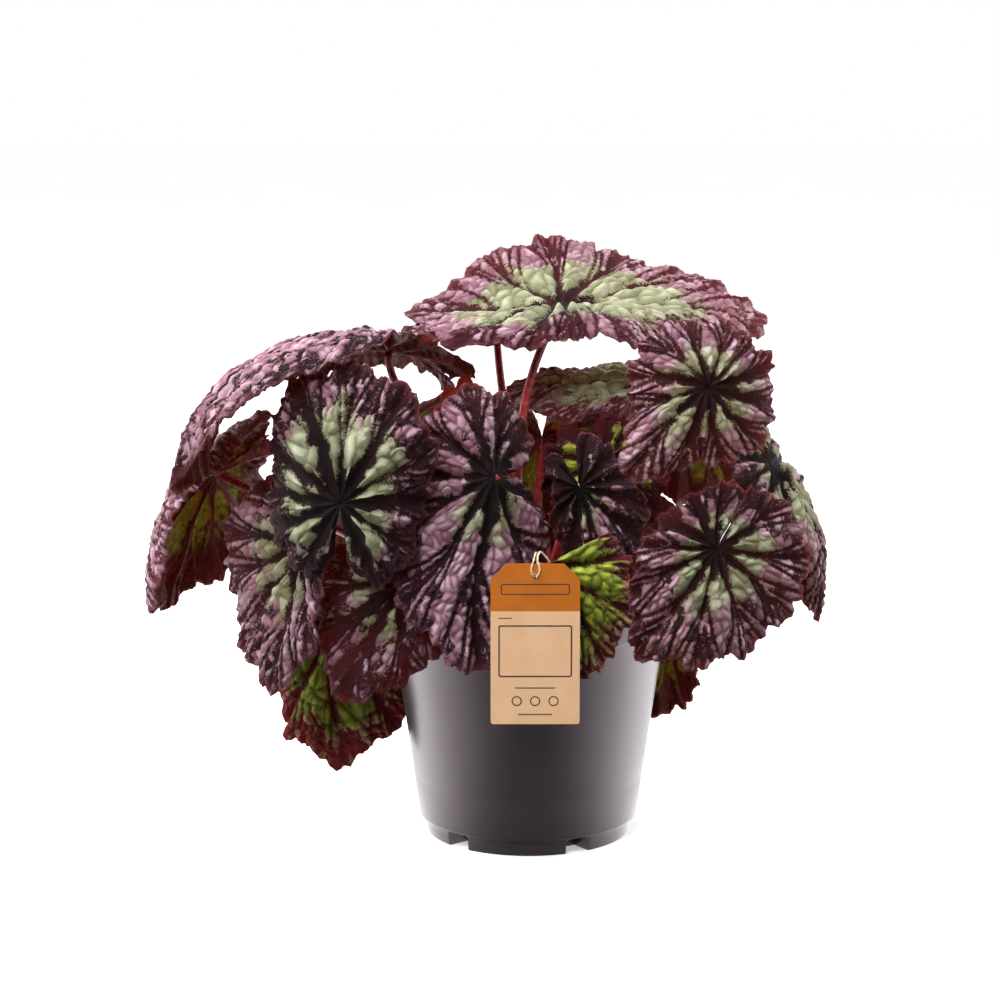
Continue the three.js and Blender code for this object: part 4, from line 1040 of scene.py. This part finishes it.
cotton_finish = finish("two-ply cotton", cotton, (0.5, 0.0002), Roughness=0.85, Sheen_Weight=0.4)
string_line, string_length = smooth_line(STRING_ROUTE, STRING_RINGS)
string_along = unit(np.gradient(string_line, axis=0))
string_side = np.zeros_like(string_line)
string_side[0] = unit(np.cross(string_along[0], (0, 0, 1)))
for ring in range(1, STRING_RINGS):  # each ring's side is the last one's, laid square to the line again
    carried = string_side[ring - 1] - string_along[ring] * np.dot(string_side[ring - 1], string_along[ring])
    string_side[ring] = unit(carried)
string_turn = np.arange(STRING_SIDES)[None, :] * 2 * np.pi / STRING_SIDES
string_gone = np.linspace(0, string_length, STRING_RINGS)[:, None]
ply = np.maximum(np.abs(np.cos(string_turn - np.pi * string_gone / STRING_TWIST)), 0.62) * STRING_RADIUS
string_points, _ = rings_around(
    string_line, string_side, np.cross(string_along, string_side), ply[..., None], STRING_SIDES)
string_quads, string_caps = tube_faces(STRING_RINGS, STRING_SIDES)
string = piece(
    "tag_string_loop", string_points.reshape(-1, 3), [(string_quads, 0), (string_caps, 0)],
    [cotton_finish], "tag_string",
)

# The knot: a thick ply wound as a trefoil within the space that the knot takes up.
knot_turn = np.linspace(0, 2 * np.pi, KNOT_RINGS, endpoint=False)
knot_line = np.stack([np.sin(knot_turn) + 2 * np.sin(2 * knot_turn), -np.sin(3 * knot_turn),
                      np.cos(knot_turn) - 2 * np.cos(2 * knot_turn)], axis=-1) / (3, 1, 3)
knot_line = np.array(KNOT_CENTRE) + knot_line * (np.array(KNOT_RADII) - KNOT_PLY)
knot_along = unit(np.roll(knot_line, -1, axis=0) - np.roll(knot_line, 1, axis=0))
knot_side = unit(np.cross(knot_along, knot_line - np.array(KNOT_CENTRE)))
knot_points, _ = rings_around(
    knot_line, np.cross(knot_side, knot_along), knot_side, KNOT_PLY, KNOT_SIDES)
knot_quads = lattice(KNOT_RINGS + 1, KNOT_SIDES, closed=True) % (KNOT_RINGS * KNOT_SIDES)
knot = piece(
    "tag_string_knot", knot_points.reshape(-1, 3), [(knot_quads, 0)], [cotton_finish], None)


# ---- Studio ----
# A plain white floor that runs off into white, large soft lights above and to both sides, and the camera
# where the photograph was taken from: 1.3 m in front, a little above the plant, looking down by 10 degrees.

CAMERA_PLACE = (-0.0142, -1.3, 0.397)
CAMERA_PITCH = 80.0
CAMERA_LENS = 95.8
PLANT_MIDDLE = (0, 0, 0.15)


def paper(tree, place):
    """White background paper, faintly cloudy and lit up evenly for the camera. Towards the plant it is a
    dark floor in front, as if the front of the studio were hung with black, and it shines to both sides in
    the pot's reflections."""
    cloud = node(tree, "TexNoise", {"Vector": place, "Scale": 6.0, "Detail": 4.0})
    sides = node(tree, "SeparateXYZ", {"Vector": place}).node.outputs
    ray = node(tree, "LightPath").node.outputs
    white = node(tree, "ValToRGB", {"Fac": cloud}, [(0.3, "#f4f4f4"), (0.7, "#fafafa")])
    nearer = node(tree, "MapRange", {"Value": sides["Y"], "From Min": -0.06, "From Max": 0.06})
    bounce = node(tree, "ValToRGB", {"Fac": nearer}, [(0.0, "#262626"), (1.0, "#f0f0f0")])
    shown = node(tree, "Mix", {
        "Factor": ray["Is Camera Ray"], "A": bounce, "B": white}, data_type="RGBA")
    aside = node(tree, "Math", {0: sides["X"]}, operation="ABSOLUTE")
    away = node(tree, "VectorMath", {0: place}, operation="LENGTH")
    turned = node(tree, "Math", {0: aside, 1: away}, operation="DIVIDE")
    strip = node(tree, "Math", {0: turned, 1: 3.0}, operation="POWER")
    strip = node(tree, "MapRange", {"Value": strip, "To Min": 0.25, "To Max": 2.4})
    mirrored = node(tree, "Math", {0: strip, 1: ray["Is Glossy Ray"]}, operation="MULTIPLY")
    glow = node(tree, "Math", {0: ray["Is Camera Ray"], 1: 0.42}, operation="MULTIPLY")
    glow = node(tree, "Math", {0: glow, 1: mirrored}, operation="ADD")
    return {"Base Color": shown, "Emission Strength": glow}


def light(name, place, size, power):
    """A soft square light that faces the middle of the plant."""
    lamp = bpy.data.lights.new(name, "AREA")
    lamp.energy, lamp.size = power, size
    new = added(name, lamp)
    new.location = place
    new.rotation_euler = (Vector(PLANT_MIDDLE) - Vector(place)).to_track_quat("-Z", "Y").to_euler()


floor_mesh = bpy.data.meshes.new("floor")
floor_mesh.from_pydata([(-8, -8, 0), (8, -8, 0), (8, 8, 0), (-8, 8, 0)], [], [(0, 1, 2, 3)])
floor_mesh.materials.append(finish(
    "background paper", paper, Roughness=0.9, Emission_Color=linear("#ffffff")))
floor = added("floor", floor_mesh)

light("top light", (-0.45, -0.3, 1.4), 0.5, 21.0)
light("left light", (-1.3, 0.35, 0.45), 1.3, 18.0)
light("right light", (1.3, 0.35, 0.45), 1.3, 18.0)
light("front light", (-0.5, -1.4, 1.2), 0.6, 22.0)
light("back light", (0.0, 1.5, 1.0), 1.4, 12.0)

world = bpy.data.worlds.new("studio")
world.use_nodes = True
sky = world.node_tree
around = node(sky, "SeparateXYZ", {"Vector": node(sky, "TexCoord").node.outputs["Generated"]}).node.outputs
behind = node(sky, "MapRange", {
    "Value": around["Y"], "From Min": -0.6, "From Max": 0.3, "To Min": 0.06, "To Max": 0.95})
seen = node(sky, "LightPath").node.outputs["Is Camera Ray"]
strength = node(sky, "Mix", {"Factor": seen, "A": behind, "B": 1.0})
sky.links.new(strength, sky.nodes["Background"].inputs["Strength"])
sky.nodes["Background"].inputs["Color"].default_value = linear("#ffffff")
bpy.context.scene.world = world
bpy.context.scene.view_settings.view_transform = "Standard"
bpy.context.scene.view_settings.look = "None"

camera = added("camera", bpy.data.cameras.new("camera"))
camera.location = CAMERA_PLACE
camera.rotation_euler = (math.radians(CAMERA_PITCH), 0, 0)
camera.data.lens = CAMERA_LENS
camera.data.sensor_width = 36
bpy.context.scene.camera = camera
